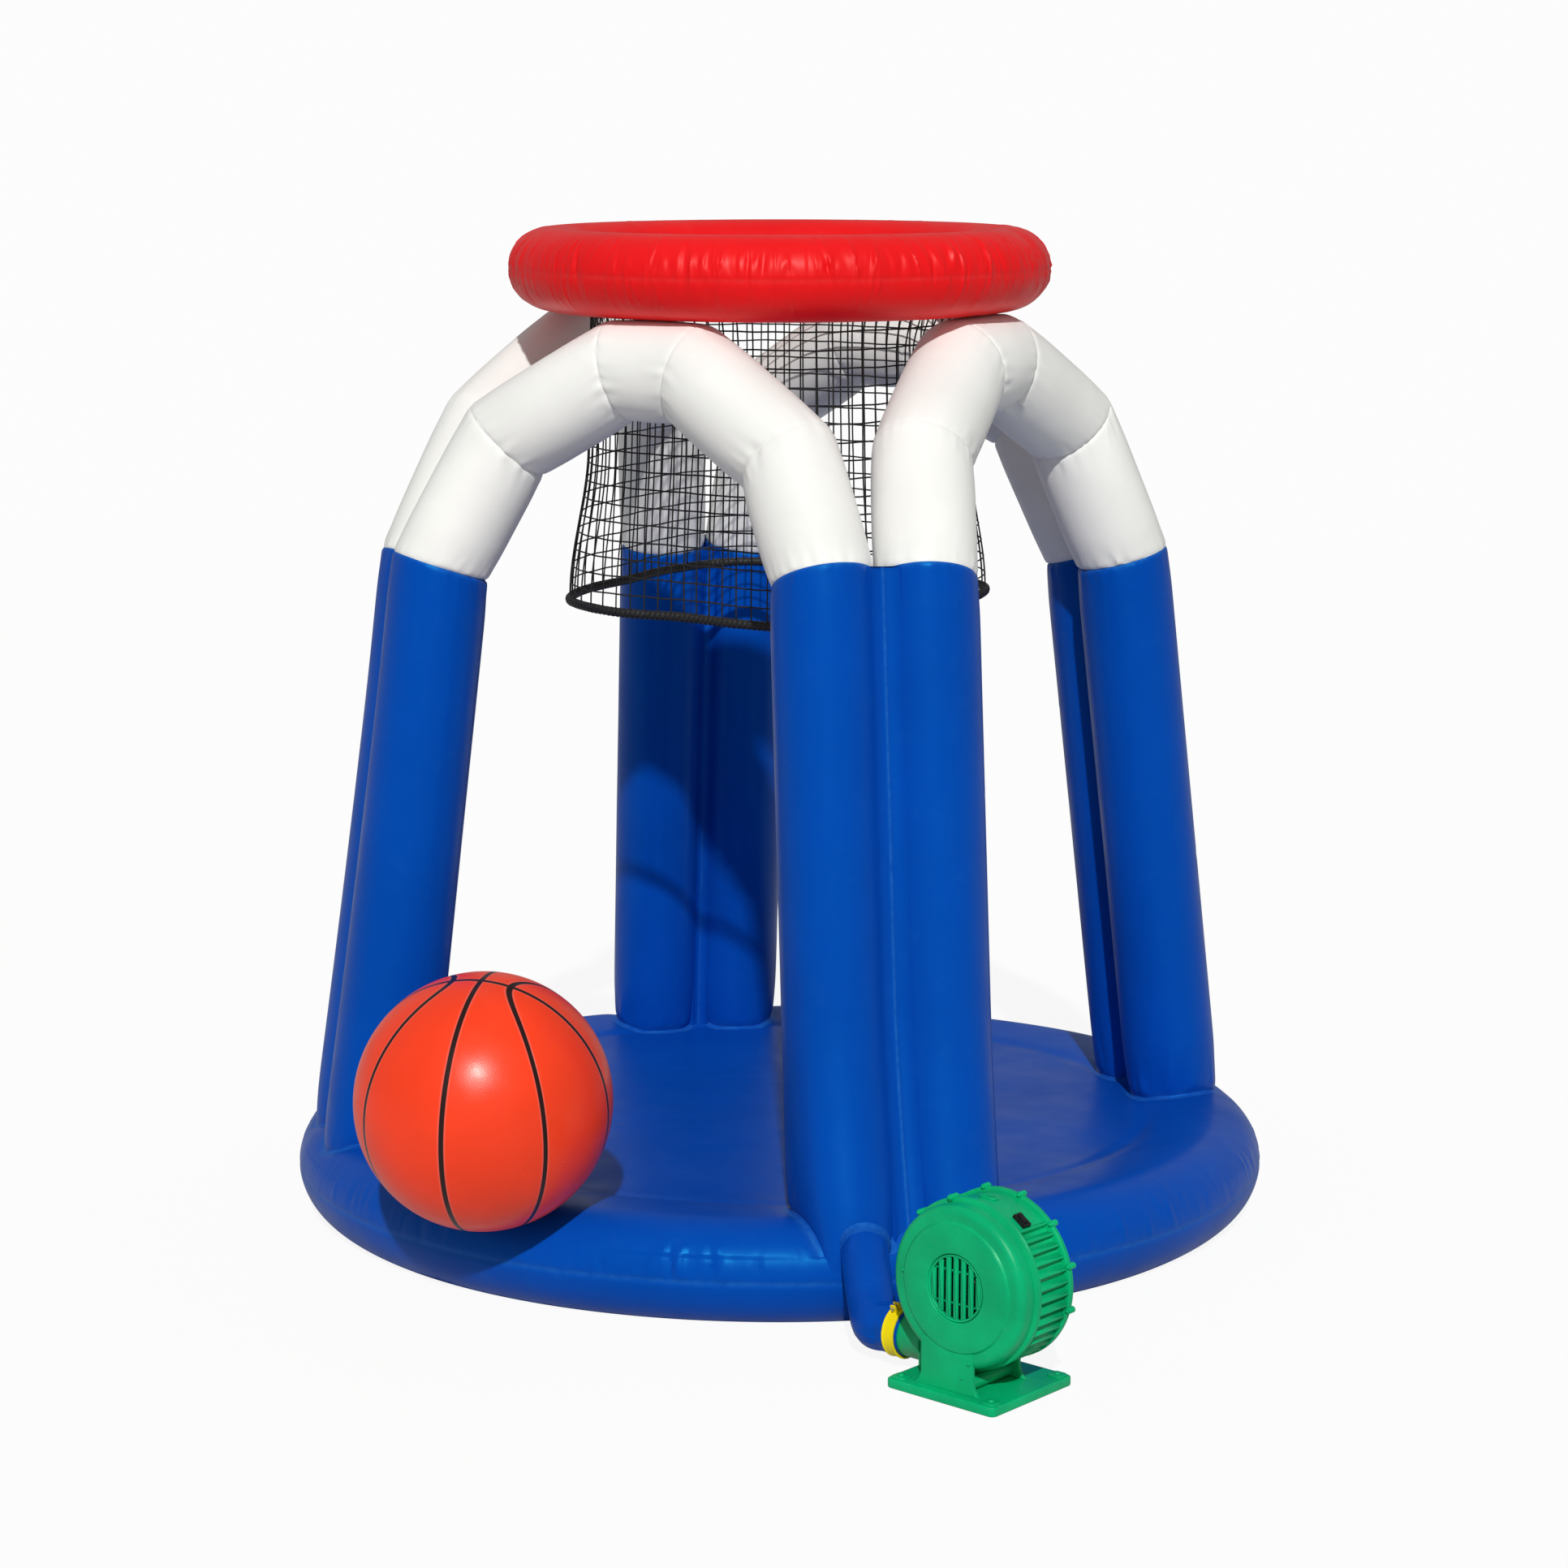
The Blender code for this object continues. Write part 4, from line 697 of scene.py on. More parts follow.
def floor_creases(flat):
    """Long shallow folds in the floor: exp(-(d / w)^2) across each line from a to b, and
    fading past its ends."""
    lines = (
        ((0.26, -0.36), (0.62, -0.10), 0.0030, 0.020),
        ((-0.30, -0.42), (0.02, -0.16), 0.0020, 0.024),
        ((-0.42, 0.10), (-0.10, 0.30), 0.0022, 0.020),
        ((0.10, 0.42), (0.44, 0.20), 0.0022, 0.026),
        ((-0.66, -0.34), (-0.48, -0.55), 0.0026, 0.016),
    )
    total = np.zeros(flat.shape[:-1])
    for start, end, height, width in lines:
        start, run = np.array(start), np.array(end) - np.array(start)
        size = np.linalg.norm(run)
        rel = flat - start
        part = rel @ run / size**2
        off = (rel[..., 0] * run[1] - rel[..., 1] * run[0]) / size
        fade = ease(part / 0.3) * ease((1.0 - part) / 0.3)
        total += height * (off / width + 0.3) * np.exp(-((off / width) ** 2)) * fade
    return total


# Legs and arches

CROWN_LEVEL = 1.897
# Shoulder and crown of an arch before the hoop leans: across, outwards and up
ARCH_TOP = ((0.353, 0.553, 1.740), (0.088, 0.500, CROWN_LEVEL))


def hoop_place(ring):
    """The leaning frame of the crowns, the ring and the net."""
    axis = np.cross(UP, outward(ring.lean_azimuth))
    return place(turned_about(axis, ring.lean), (0.0, 0.0, CROWN_LEVEL))


def arch_corners(azimuth, tubes, ring):
    """Corners of one arch: left junction, shoulder and crown, then the right ones."""
    side, out = sideways(azimuth), outward(azimuth)
    leaning = hoop_place(ring)
    half = tubes.radius + GAP / 2.0
    reach = tubes.pair_radius - tubes.lean * tubes.junction
    low = ((reach - half) * math.sqrt(0.5), (reach + half) * math.sqrt(0.5), tubes.junction)

    def corners(sign):
        junction = side * sign * low[0] + out * low[1] + UP * low[2]
        high = [side * sign * x + out * y + UP * (z - CROWN_LEVEL) for x, y, z in ARCH_TOP]
        return [junction, *(moved(point, leaning) for point in high)]

    return np.array(corners(-1.0) + corners(1.0)[::-1])


def mitre_rings(corners, normals, across, radius, sides):
    """The ring where a tube meets the plane at each corner. Each point of a circle round
    a run slides along the run onto the plane, and the circle's two axes are mirrored in
    each plane, so that the rings of neighbouring runs match."""
    runs = unit(np.diff(corners, axis=0))
    angle = round_angles(sides)[:, None]
    first = unit(across - runs[0] * (across @ runs[0]))
    second = np.cross(runs[0], first)
    rings = []
    for i, run in enumerate(runs):
        circle = radius * (np.cos(angle) * first + np.sin(angle) * second)
        for corner in ((i, i + 1) if i == 0 else (i + 1,)):
            slide = circle @ normals[corner] / (run @ normals[corner])
            rings.append(corners[corner] + circle - run * slide[:, None])
        mirror = normals[i + 1]
        first = first - 2.0 * (first @ mirror) * mirror
        second = second - 2.0 * (second @ mirror) * mirror
    return np.array(rings)


def weld_shift(angle, distance, inner, radius, crease, pucker, seed):
    """Shape of a tube beside one weld: a sharp groove exp(-|s| / g), a wide draw-in
    exp(-(s / w)^2), and wrinkles that run away from the weld and are deeper on the inner
    side of the bend."""
    away = np.abs(distance)
    groove = -crease * np.exp(-away / 0.0050) * (1.0 + 0.25 * inner)
    draw = -0.0030 * np.exp(-((distance / 0.055) ** 2))
    folds = wrinkles(angle * radius, distance, TAU * radius, 34, seed, 0.0075, 0.034, pucker)
    waves = ripple(angle, seed + 1, (9, 14, 19, 26)) * np.exp(-away / 0.030) * pucker
    deep = 0.45 + 0.55 * ease((inner + 0.7) / 1.4)
    calm = ease(away / 0.004)
    return groove + draw + (folds + 0.9 * waves) * deep * calm


def tube_skin(corners, normals, across, radius, rows, crease, pucker, seed, sides=96):
    """A tube along its corners: each row lies between two mitre rings, and each point is
    moved from or to the centre line by the shape beside the welds. Gives back the points
    and their weld marks."""
    rings = mitre_rings(corners, normals, across, radius, sides)
    runs = np.diff(corners, axis=0)
    ways = unit(runs)
    angle = round_angles(sides)[None]
    points, marks = [], []
    for i, run in enumerate(runs):
        size = np.linalg.norm(run)
        part = 0.5 - 0.5 * np.cos(np.linspace(0.0, math.pi, rows))
        part = 0.35 * np.linspace(0.0, 1.0, rows) + 0.65 * part
        if i:
            part = part[1:]
        t = part[:, None, None]
        skin = rings[i] * (1.0 - t) + rings[i + 1] * t
        centre = (corners[i] + run * part[:, None])[:, None]
        radial = skin - centre
        shift = 0.0012 * ripple(angle, seed + 40 + i, (2, 3)) * np.sin(math.pi * part)[:, None]
        mark = np.zeros(skin.shape[:-1])
        for corner, s in ((i, part * size), (i + 1, (part - 1.0) * size)):
            if corner in (0, len(corners) - 1):
                bend = np.zeros(3)
            else:
                bend = unit(ways[corner] - ways[corner - 1])
            inner = unit(radial) @ bend
            distance = s[:, None] + 0.0 * angle
            shift = shift + weld_shift(angle, distance, inner, radius, crease, pucker, seed + 7 * corner)
            mark = np.maximum(mark, np.exp(-np.abs(distance) / 0.0035))
        points.append(centre + radial * (1.0 + shift / radius)[..., None])
        marks.append(mark)
    return np.concatenate(points), np.concatenate(marks)


def foot_ring(foot, junction, across, base, tubes, sides):
    """Where a leg's skin meets the base: each line along the leg, with its flare, is halved
    again and again until its height equals the base's height below it."""
    run = unit(junction - foot)
    out = outward(pair_azimuth(foot))
    angle = round_angles(sides)[:, None]
    first = unit(across - run * (across @ run))
    circle = tubes.radius * (np.cos(angle) * first + np.sin(angle) * np.cross(run, first))
    facing = unit(circle) @ out
    low, high = np.zeros(sides), np.full(sides, 0.6)
    for _ in range(24):
        middle = (low + high) / 2.0
        here = spread(foot + circle + run * middle[:, None], facing, foot, base, tubes)
        above = here[:, 2] > base_height(np.linalg.norm(here[:, :2], axis=1), base)
        high, low = np.where(above, middle, high), np.where(above, low, middle)
    return circle, low


def leg_skin(foot, junction, next_corner, across, base, tubes, seed, sides=96, rows=110):
    """A leg from the base to the junction. Every line along it runs from where it meets
    the base, a little below the skin, to the mitre plane. It is drawn in and folded at
    the foot, and creased at the junction."""
    run = unit(junction - foot)
    normal = unit(run + unit(next_corner - junction))
    circle, start = foot_ring(foot, junction, across, base, tubes, sides)
    size = np.linalg.norm(junction - foot)
    slide = circle @ normal / (run @ normal)
    finish = size - slide
    t = 0.5 - 0.5 * np.cos(np.linspace(0.0, math.pi, rows))
    t = (0.4 * np.linspace(0.0, 1.0, rows) + 0.6 * t)[:, None]
    begin = start - 0.010
    way = begin + (finish - begin) * t
    angle = round_angles(sides)[None]
    below = way - start[None]
    above = way - finish[None]
    inner = unit(circle) @ unit(unit(next_corner - junction) - run)
    shift = weld_shift(angle, above, inner[None], tubes.radius, tubes.crease, tubes.pucker, seed)
    shift = shift - 0.0060 * np.exp(-np.abs(below) / 0.010)
    shift = shift - 0.0045 * np.exp(-((below / 0.070) ** 2))
    folds = wrinkles(angle * tubes.radius, below, TAU * tubes.radius, 22, seed + 3, 0.013, 0.060, 0.0042)
    shift = shift + folds * ease(below / 0.02)
    dents = wrinkles(
        angle * tubes.radius, way - size * 0.5, TAU * tubes.radius, 5, seed + 9, 0.030, 0.5, 0.0010
    )
    shift = shift + dents + small_creases(angle * tubes.radius, way, tubes.radius, seed)
    out = outward(pair_azimuth(foot))
    along = foot + run * way[..., None]
    points = along + circle[None] * (1.0 + shift / tubes.radius)[..., None]
    points = spread(points, unit(circle) @ out, foot, base, tubes)
    mark = np.maximum(0.6 * np.exp(-np.abs(below) / 0.0035), np.exp(-np.abs(above) / 0.0030))
    return Mould().grid(points, mark=mark, ends=(True, True))


def small_creases(along, way, radius, seed):
    """A few short level creases from packing, each exp(-(x / l)^2) long and
    (y / w) exp(-(y / w)^2) across."""
    rng = np.random.default_rng(seed + 90)
    total = np.zeros(np.broadcast(along, way).shape)
    for _ in range(4):
        centre, level = rng.uniform(0.0, TAU * radius), rng.uniform(0.35, 1.2)
        x = (along - centre + math.pi * radius) % (TAU * radius) - math.pi * radius
        y = way - level - 0.15 * x
        width = rng.uniform(0.003, 0.006)
        total += 0.0024 * (y / width) * np.exp(-((y / width) ** 2)) * np.exp(-((x / 0.022) ** 2))
    return total


def seam_strip(pair, following, base, tubes, outer):
    """The web in the groove between the two tubes of a pair: a hollow fillet that is
    tangent to both tubes, x = f sin b and depth = y - f cos b with (R + f)^2 = R^2 + y^2,
    and a bead, h exp(-|x| / w), where the two skins are welded. Its edges turn into the
    tubes, and it ends at the first tube's mitre plane."""
    (foot_a, top_a), (foot_b, top_b) = pair
    foot, top = (foot_a + foot_b) / 2.0, (top_a + top_b) / 2.0
    run = unit(top - foot)
    side = unit(foot_b - foot_a)
    out = np.cross(side, run)
    out = out if out @ foot > 0.0 else -out
    out = out if outer else -out
    fillet = 0.045 if outer else 0.020
    depth = math.sqrt((tubes.radius + fillet) ** 2 - tubes.radius**2)
    widest = math.atan2(tubes.radius, depth)
    turn = np.concatenate([[-widest], np.linspace(-widest, widest, 25), [widest]])
    reach = np.full(len(turn), fillet)
    reach[[0, -1]] += 0.012
    across = reach * np.sin(turn)
    bead = 0.0014 * np.exp(-np.abs(across) / 0.0012)
    lift = depth - reach * np.cos(turn) + bead
    first = unit(top_a - foot_a)
    normal = unit(first + unit(following - top_a))
    offset = side * tubes.radius + out * (depth - fillet)
    end = np.linalg.norm(top - foot) - offset @ normal / (first @ normal) - 0.002
    way = np.linspace(0.085 / run[2], end, 72)[:, None, None]
    middle = foot + run * way + 0.0 * across[:, None]
    if outer:
        cosine = outward(pair_azimuth(foot)) @ out * depth / (tubes.radius + fillet)
        facing = np.full(middle.shape[:-1], cosine)
        middle = spread(middle + out * lift[:, None], facing, foot, base, tubes) - out * lift[:, None]
    skin = middle + side * across[:, None] + out * lift[:, None]
    back = skin - out * 0.0024
    # The bead is marked as a weld, so it is painted as a paler line: partly wear, partly a painted highlight.
    mark = np.concatenate([0.8 * np.exp(-np.abs(across) / 0.0016), np.zeros(len(turn))])
    return Mould().grid(np.concatenate([skin, back[:, ::-1]], axis=1), mark=mark, ends=(True, True))


# The hoop ring, the net and its ropes

# The top rope's radius, the room that it takes under the ring, and its angle round the ring's tube
TOP_ROPE, TOP_ROPE_ROOM, TOP_ROPE_ANGLE = 0.0066, 0.007, 202.5


def ring_height(ring, tubes):
    """How far the ring's centre line lies above the crowns' centre lines."""
    reach = tubes.radius + ring.tube + GAP
    return math.sqrt(reach**2 - (ring.radius - ARCH_TOP[1][1]) ** 2)


def ring_skin(ring, tubes):
    """A torus, ((R + t cos b) cos a, (R + t cos b) sin a, h + t sin b), with a welded
    seam outside and inside. Wrinkles cross both seams and the skin dips over the
    crowns that it rests on."""
    columns, rows = 1440, 84
    azimuth = round_angles(columns)[None]
    turn = (round_angles(rows) - math.pi)[:, None]
    outer = turn * ring.tube
    inner = ((turn + TAU) % TAU - math.pi) * ring.tube
    girth = TAU * (ring.radius + ring.tube)
    inner_girth = TAU * (ring.radius - ring.tube)
    along = azimuth * (ring.radius + ring.tube)
    folds = wrinkles(along, outer - 0.030, girth, 250, 21, 0.0085, 0.034, ring.pucker)
    folds = folds * (0.60 + 0.40 * ripple(azimuth, 22, (3, 5, 7)))
    folds = folds + sharp_creases(along, outer - 0.018, girth, 170, 25, 0.0026, 0.080, 0.0030)
    gathers = wrinkles(
        azimuth * (ring.radius - ring.tube), inner, inner_girth, 210, 23, 0.0075, 0.036, ring.pucker * 1.3
    )
    groove = -0.0016 * np.exp(-np.abs(outer) / 0.0028) - 0.0024 * np.exp(-np.abs(inner) / 0.0035)
    slack = 0.0016 * ripple(azimuth, 24, (5, 9, 14)) * np.cos(turn) ** 2
    shift = folds + gathers + groove + slack
    under = np.exp(-(((turn + math.pi / 2.0) / 0.5) ** 2))
    shift = shift * (1.0 - under) - 0.0004 * under
    tube = ring.tube + shift
    reach = ring.radius + tube * np.cos(turn)
    level = ring_height(ring, tubes) + tube * np.sin(turn) + 0.0 * azimuth
    points = np.stack([reach * np.cos(azimuth), reach * np.sin(azimuth), level], axis=-1)
    mark = 0.6 * np.maximum(np.exp(-np.abs(outer) / 0.002), np.exp(-np.abs(inner) / 0.003))
    return Mould().grid(moved(points, hoop_place(ring)), loop=True, mark=mark + 0.0 * azimuth)


def eased_between(value, stops):
    """Values that ease from one stop to the next; a stop is (share, value)."""
    total = np.full(np.shape(value), stops[0][1])
    for (left, low), (right, high) in zip(stops, stops[1:]):
        total = total + (high - low) * ease((value - left) / (right - left))
    return total


def top_rope_place(ring, tubes):
    """Radius and height of the top rope, against the ring's inner lower side."""
    reach = ring.tube + TOP_ROPE_ROOM + GAP
    angle = math.radians(TOP_ROPE_ANGLE)
    return ring.radius + reach * math.cos(angle), ring_height(ring, tubes) + reach * math.sin(angle)


def net_point(azimuth_deg, part, ring, tubes, net):
    """A point of the net's surface in the hoop's frame. Its distance from the axis goes
    from the side's value to the corner's as (1 - cos 4a) / 2, and both ease down the net."""
    top_radius, top_level = top_rope_place(ring, tubes)
    side = eased_between(part, ((0.0, top_radius), (0.19, 0.383), (1.0, 0.402)))
    corner = eased_between(part, ((0.0, top_radius), (0.5, 0.434), (1.0, 0.482)))
    weight = (1.0 - np.cos(np.radians(4.0 * azimuth_deg))) / 2.0
    reach = side + (corner - side) * weight
    level = top_level + (-net.drop - top_level) * part
    return outward(azimuth_deg) * reach[..., None] + level[..., None] * UP


def slack_of(azimuth_deg, part):
    """How far a strand strays, as a share of a cell: slow waves that differ by row."""
    angle = np.radians(azimuth_deg)
    waves = np.sin(7 * angle + 5.0 * part) + np.sin(13 * angle - 9.0 * part + 1.0)
    waves = waves + np.sin(29 * angle + 17.0 * part)
    return waves / 3.0 * np.sin(math.pi * np.clip(part, 0.0, 1.0)) ** 0.5


def net_strands(ring, tubes, net):
    """Upright and level strands over the net's surface, each a thin rod. The crossings
    stray a little from an even grid, as a hung net's do."""
    leaning = hoop_place(ring)
    mould = Mould()
    cell = 360.0 / net.columns
    down = np.linspace(0.0, 1.0, 4 * (net.rows + 1) + 1)
    for i in range(net.columns):
        azimuth = i * cell + net.stray * cell * slack_of(i * cell, down)
        points = net_point(azimuth, down, ring, tubes, net)
        outside = moved(points, place(leaning[:3, :3])) * np.array([1.0, 1.0, 0.0])
        mould.rod(moved(points, leaning), net.strand, sides=6, facing=outside)
    around = np.arange(net.columns * 4) * cell / 4.0
    row = 1.0 / (net.rows + 1)
    for j in range(1, net.rows + 1):
        part = j * row + net.stray * row * slack_of(around + 31.0 * j, np.full(len(around), 0.5))
        azimuth = around + net.stray * cell * slack_of(around, part)
        points = moved(net_point(azimuth, part, ring, tubes, net), leaning)
        mould.rod(points, net.strand, sides=6, closed=True)
    return mould


def rope_loop(reach_at, level, radius, pitch, ring, seed):
    """A rope lashed with cord: the rope's radius rises and falls along it as
    r + h |cos(p / 2)|, where the phase p goes round the rope too, so the turns slant."""
    fine = np.linspace(0.0, 360.0, 4001)
    path = outward(fine) * reach_at(fine)[:, None]
    travelled = distance_along(path)
    turns = round(travelled[-1] / pitch)
    count, sides = turns * 8, 12
    azimuth = np.interp(np.arange(count) / count * travelled[-1], travelled, fine)
    path = outward(azimuth) * reach_at(azimuth)[:, None] + UP * level
    path[:, 2] += 0.002 * ripple(np.radians(azimuth), seed, (4, 7, 11))
    phase = TAU * turns * np.arange(count)[:, None] / count + round_angles(sides)[None]
    uneven = 0.03 * ripple(phase * 0.11, seed, (1, 2))
    thick = radius * (0.88 + 0.14 * np.abs(np.cos(phase / 2.0)) + uneven)
    return Mould().rod(moved(path, hoop_place(ring)), thick, sides=sides, closed=True)


# The blower

BLOWER_TURN, BLOWER_AT = -11.0, (1.040, -1.020, 0.0)
FAN_AT = (0.020, 0.0, 0.212)
OUTLET_AT = (0.0, -0.0075, 0.068)
# Angles round the fan's axis, from the blower's X towards up
FRONT_BOSSES = (105.0, 135.0, 165.0)
REAR_BOSSES = (15.0, 45.0, 75.0, 105.0, 135.0, 165.0, 345.0)
FIRST_RIB, RIB_SWEEP = -76.0, 290.0
SWITCH_ANGLE, SWITCH_ROOM = 57.0, 8.0
RIBLESS = (66.0, 114.0)
SMOOTH_LANDS = ((47.0, 67.0), (67.0, 113.0))
EYE_ANGLE = 88.0
# Level of the drum's two rims along the fan's axis
BAND_HIGH, BAND_LOW = 0.0547, -0.0397
# Turns that set a frame's Z level, and that lay a frame flat on the drum
UPRIGHT = turned_about((1.0, 0.0, 0.0), 90.0)
LYING = np.array([[0.0, 0.0, 1.0], [1.0, 0.0, 0.0], [0.0, 1.0, 0.0]])


def blower_place():
    """The blower's frame: intake towards -Y, outlet towards -X, foot on the ground."""
    return place(turned_about(UP, BLOWER_TURN), BLOWER_AT)


def fan_place():
    """On the fan's axis: Z towards the intake, Y up, X to the right seen from outside."""
    return blower_place() @ place(UPRIGHT, FAN_AT)


def outlet_place():
    """On the outlet's axis: Z runs with the blower's X."""
    return blower_place() @ place(turned_about((0.0, 1.0, 0.0), 90.0), OUTLET_AT)


def upright_place(depth):
    """A frame for the stand's uprights: X across, Y up, Z towards the intake."""
    return blower_place() @ place(UPRIGHT, (0.0, -depth, 0.0))


def arc(centre, radius, first_deg, last_deg, count):
    """Points on an arc: centre + radius (cos a, sin a)."""
    angle = np.radians(np.linspace(first_deg, last_deg, count))
    return np.stack([centre[0] + radius * np.cos(angle), centre[1] + radius * np.sin(angle)], axis=-1)


def spun(matrix, angle_deg, origin=(0.0, 0.0, 0.0)):
    """A frame turned about its own Z and then shifted along its new axes."""
    return matrix @ place(turned_about(UP, angle_deg)) @ place(None, origin)


def both_sides(steps, high, low):
    """A profile from steps of (radius, depth): down from the high side, and the same
    mirrored up from the low side."""
    return [(r, high - d) for r, d in steps] + [(r, low + d) for r, d in reversed(steps)]


def add_bosses(mould, levels, blower, angles):
    """Screw bosses round a flange, each a stepped stub with a domed head."""
    low, high = levels
    dome = arc((0.0, high), 0.0030, 0.0, 90.0, 5)
    for angle in angles:
        place_of = spun(fan_place(), angle, (blower.flange, 0.0, 0.0))
        stub = [(0.0060, low), (0.0060, high - 0.001), (0.0052, high), (0.0034, high)]
        stub += [(0.0034, high + 0.0008), *dome[1:-1] + np.array([0.0, 0.0008])]
        mould.turned(stub, place_of, 20, ends=(True, True))
    return mould


def upright_outline(top):
    """The stand's upright: straight flanks that flare out at the toes."""
    bottom, toe, half, bend = 0.0183, 0.030, 0.059, 0.018
    flare = arc((half + bend, bottom + toe), bend, 270.0, 180.0, 8)
    flare[:, 1] = bottom + (flare[:, 1] - (bottom + toe - bend)) * toe / bend
    right = np.vstack([flare, [(half, 0.5 * (bottom + toe + top))], [(half, top)]])
    left = right[::-1] * np.array([-1.0, 1.0])
    return np.vstack([right, left])


def front_cover(blower):
    """The intake cover: a turned dish with a raised disc, a rounded shoulder and a
    flange, the front upright flush under it, and three screw heads."""
    housing, wall = blower.housing, 0.0035
    lip = arc((0.0655, 0.0985), 0.0020, 150.0, 80.0, 4)
    outside = np.vstack(
        [
            [(0.0622, 0.0965)],
            lip,
            [(0.090, 0.1003)],
            arc((0.117, 0.0982), 0.0020, 80.0, 10.0, 5),
            arc((0.1225, 0.0972), 0.0012, 200.0, 270.0, 4),
            arc((housing - 0.016, 0.0800), 0.0160, 88.0, 0.0, 12),
            [(housing + 0.0006, 0.0620)],
            arc((blower.flange - 0.0012, 0.0578), 0.0012, 90.0, 0.0, 4),
            [(blower.flange, 0.0550)],
        ]
    )
    inside = [(housing - wall, 0.0550), (housing - wall, 0.079), (0.118, 0.0925), (0.0622, 0.0935)]
    mould = Mould()
    mould.turned(np.vstack([outside, inside]), fan_place(), 176, loop=True)
    mould.slab(upright_outline(0.110), upright_place(0.0885), 0.0, 0.0090, 0.0012)
    for x, y in ((0.052, 0.078), (0.036, 0.048), (-0.101, 0.222)):
        stub = [(0.0036, 0.0), (0.0036, 0.0012), (0.0030, 0.0024), (0.0012, 0.0030)]
        mould.turned(stub, upright_place(0.0972) @ place(None, (x, y, 0.0)), 16, ends=(True, True))
    return add_bosses(mould, (0.0552, 0.0660), blower, FRONT_BOSSES)


def drum(blower):
    """The ribbed band between its two flanges, the scroll that leads to the outlet and
    the outlet's neck. The land between the flanges is sunk, and each rib is a louvre:
    its upper flank slopes, and its lower flank drops steeply to the land. A raised oval
    eye stands on the smooth top."""
    housing, flange = blower.housing, blower.flange
    land = housing - blower.land_depth
    high, low = BAND_HIGH, BAND_LOW
    steps = [
        (0.1420, 0.0),
        (flange - 0.001, 0.0),
        (flange, 0.001),
        (flange, 0.0040),
        (flange - 0.001, 0.0050),
        (housing + 0.002, 0.0060),
        (land + 0.001, 0.0072),
        (land, 0.0085),
    ]
    mould = Mould()
    mould.turned(both_sides(steps, high, low), fan_place(), 176, loop=True)
    tall = blower.land_depth + 0.0066
    section = np.array(
        [
            (-0.0052, -0.002),
            (-0.0052, tall - 0.0012),
            (-0.0040, tall),
            (-0.0022, tall),
            (0.0070, 0.0016),
            (0.0088, -0.002),
        ]
    )
    for i in range(blower.ribs):
        angle = FIRST_RIB + RIB_SWEEP * i / (blower.ribs - 1)
        if abs(angle - SWITCH_ANGLE) < SWITCH_ROOM or RIBLESS[0] < angle < RIBLESS[1]:
            continue
        add_rib(mould, spun(fan_place(), angle), land, (low + 0.005, high - 0.005), section)
    for sector in SMOOTH_LANDS:
        add_land(mould, land, housing + 0.0004, sector, (low + 0.004, high - 0.004))
    eye = spun(fan_place(), EYE_ANGLE, (housing + 0.0002, 0.0, 0.010)) @ place(LYING)
    rim, hollow = rounded_box(0.040, 0.020, 0.0099, 10), rounded_box(0.030, 0.011, 0.0054, 10)
    levels = ((rim, 0.0), (rim, 0.0034), (hollow, 0.0038), (hollow, -0.0040))
    rows = [np.column_stack([line, np.full(len(line), z)]) for line, z in levels]
    mould.grid(moved(np.stack(rows), eye), loop=True)
    reach = 0.0440
    outline = [
        (0.105, 0.094),
        (0.070, 0.062),
        (-0.010, 0.026),
        (-0.100, 0.024),
        (-0.104, 0.028),
        (-0.104, 0.108),
        (-0.100, 0.112),
        (-0.075, 0.127),
        (0.105, 0.127),
    ]
    mould.slab(outline, upright_place(-0.0365), 0.0, 0.0880, 0.0040)
    neck = [
        (reach - 0.004, -0.1880),
        (reach - 0.001, -0.1890),
        (reach, -0.1880),
        (reach, -0.112),
        (reach + 0.0030, -0.108),
        (reach + 0.0030, -0.100),
        (reach - 0.004, -0.100),
    ]
    mould.turned(neck, outlet_place(), 96, loop=True)
    return add_bosses(mould, (0.0440, 0.0545), blower, FRONT_BOSSES)


def add_land(mould, low, high, sector, span):
    """A smooth stretch of the drum that stands over the land, as a closed block: its
    section, low or high, is carried round the fan's axis over a sector."""
    angle = np.radians(np.linspace(sector[0], sector[1], 24))[:, None]
    soft = 0.0012
    section = np.array(
        [
            (low - 0.002, span[0]),
            (high - soft, span[0]),
            (high, span[0] + soft),
            (high, span[1] - soft),
            (high - soft, span[1]),
            (low - 0.002, span[1]),
        ]
    )
    radius, level = section[:, 0], section[:, 1]
    points = np.stack([radius * np.cos(angle), radius * np.sin(angle), level + 0.0 * angle], axis=-1)
    return mould.grid(moved(points, fan_place()), ends=(True, True))


def add_rib(mould, matrix, land, span, section):
    """One rib: its section stands on the land and is carried along the fan's axis, drawn
    down to the land at both ends."""
    across, rise = section[:, 0], section[:, 1]
    stations = ((span[0], 0.45), (span[0] + 0.004, 1.0), (span[1] - 0.004, 1.0), (span[1], 0.45))
    rows = []
    for level, tall in stations:
        high = np.where(rise > 0.0, rise * tall, rise)
        rows.append(np.stack([land + high, across, np.full(len(across), level)], axis=-1))
    return mould.grid(moved(np.stack(rows), matrix), ends=(True, True))


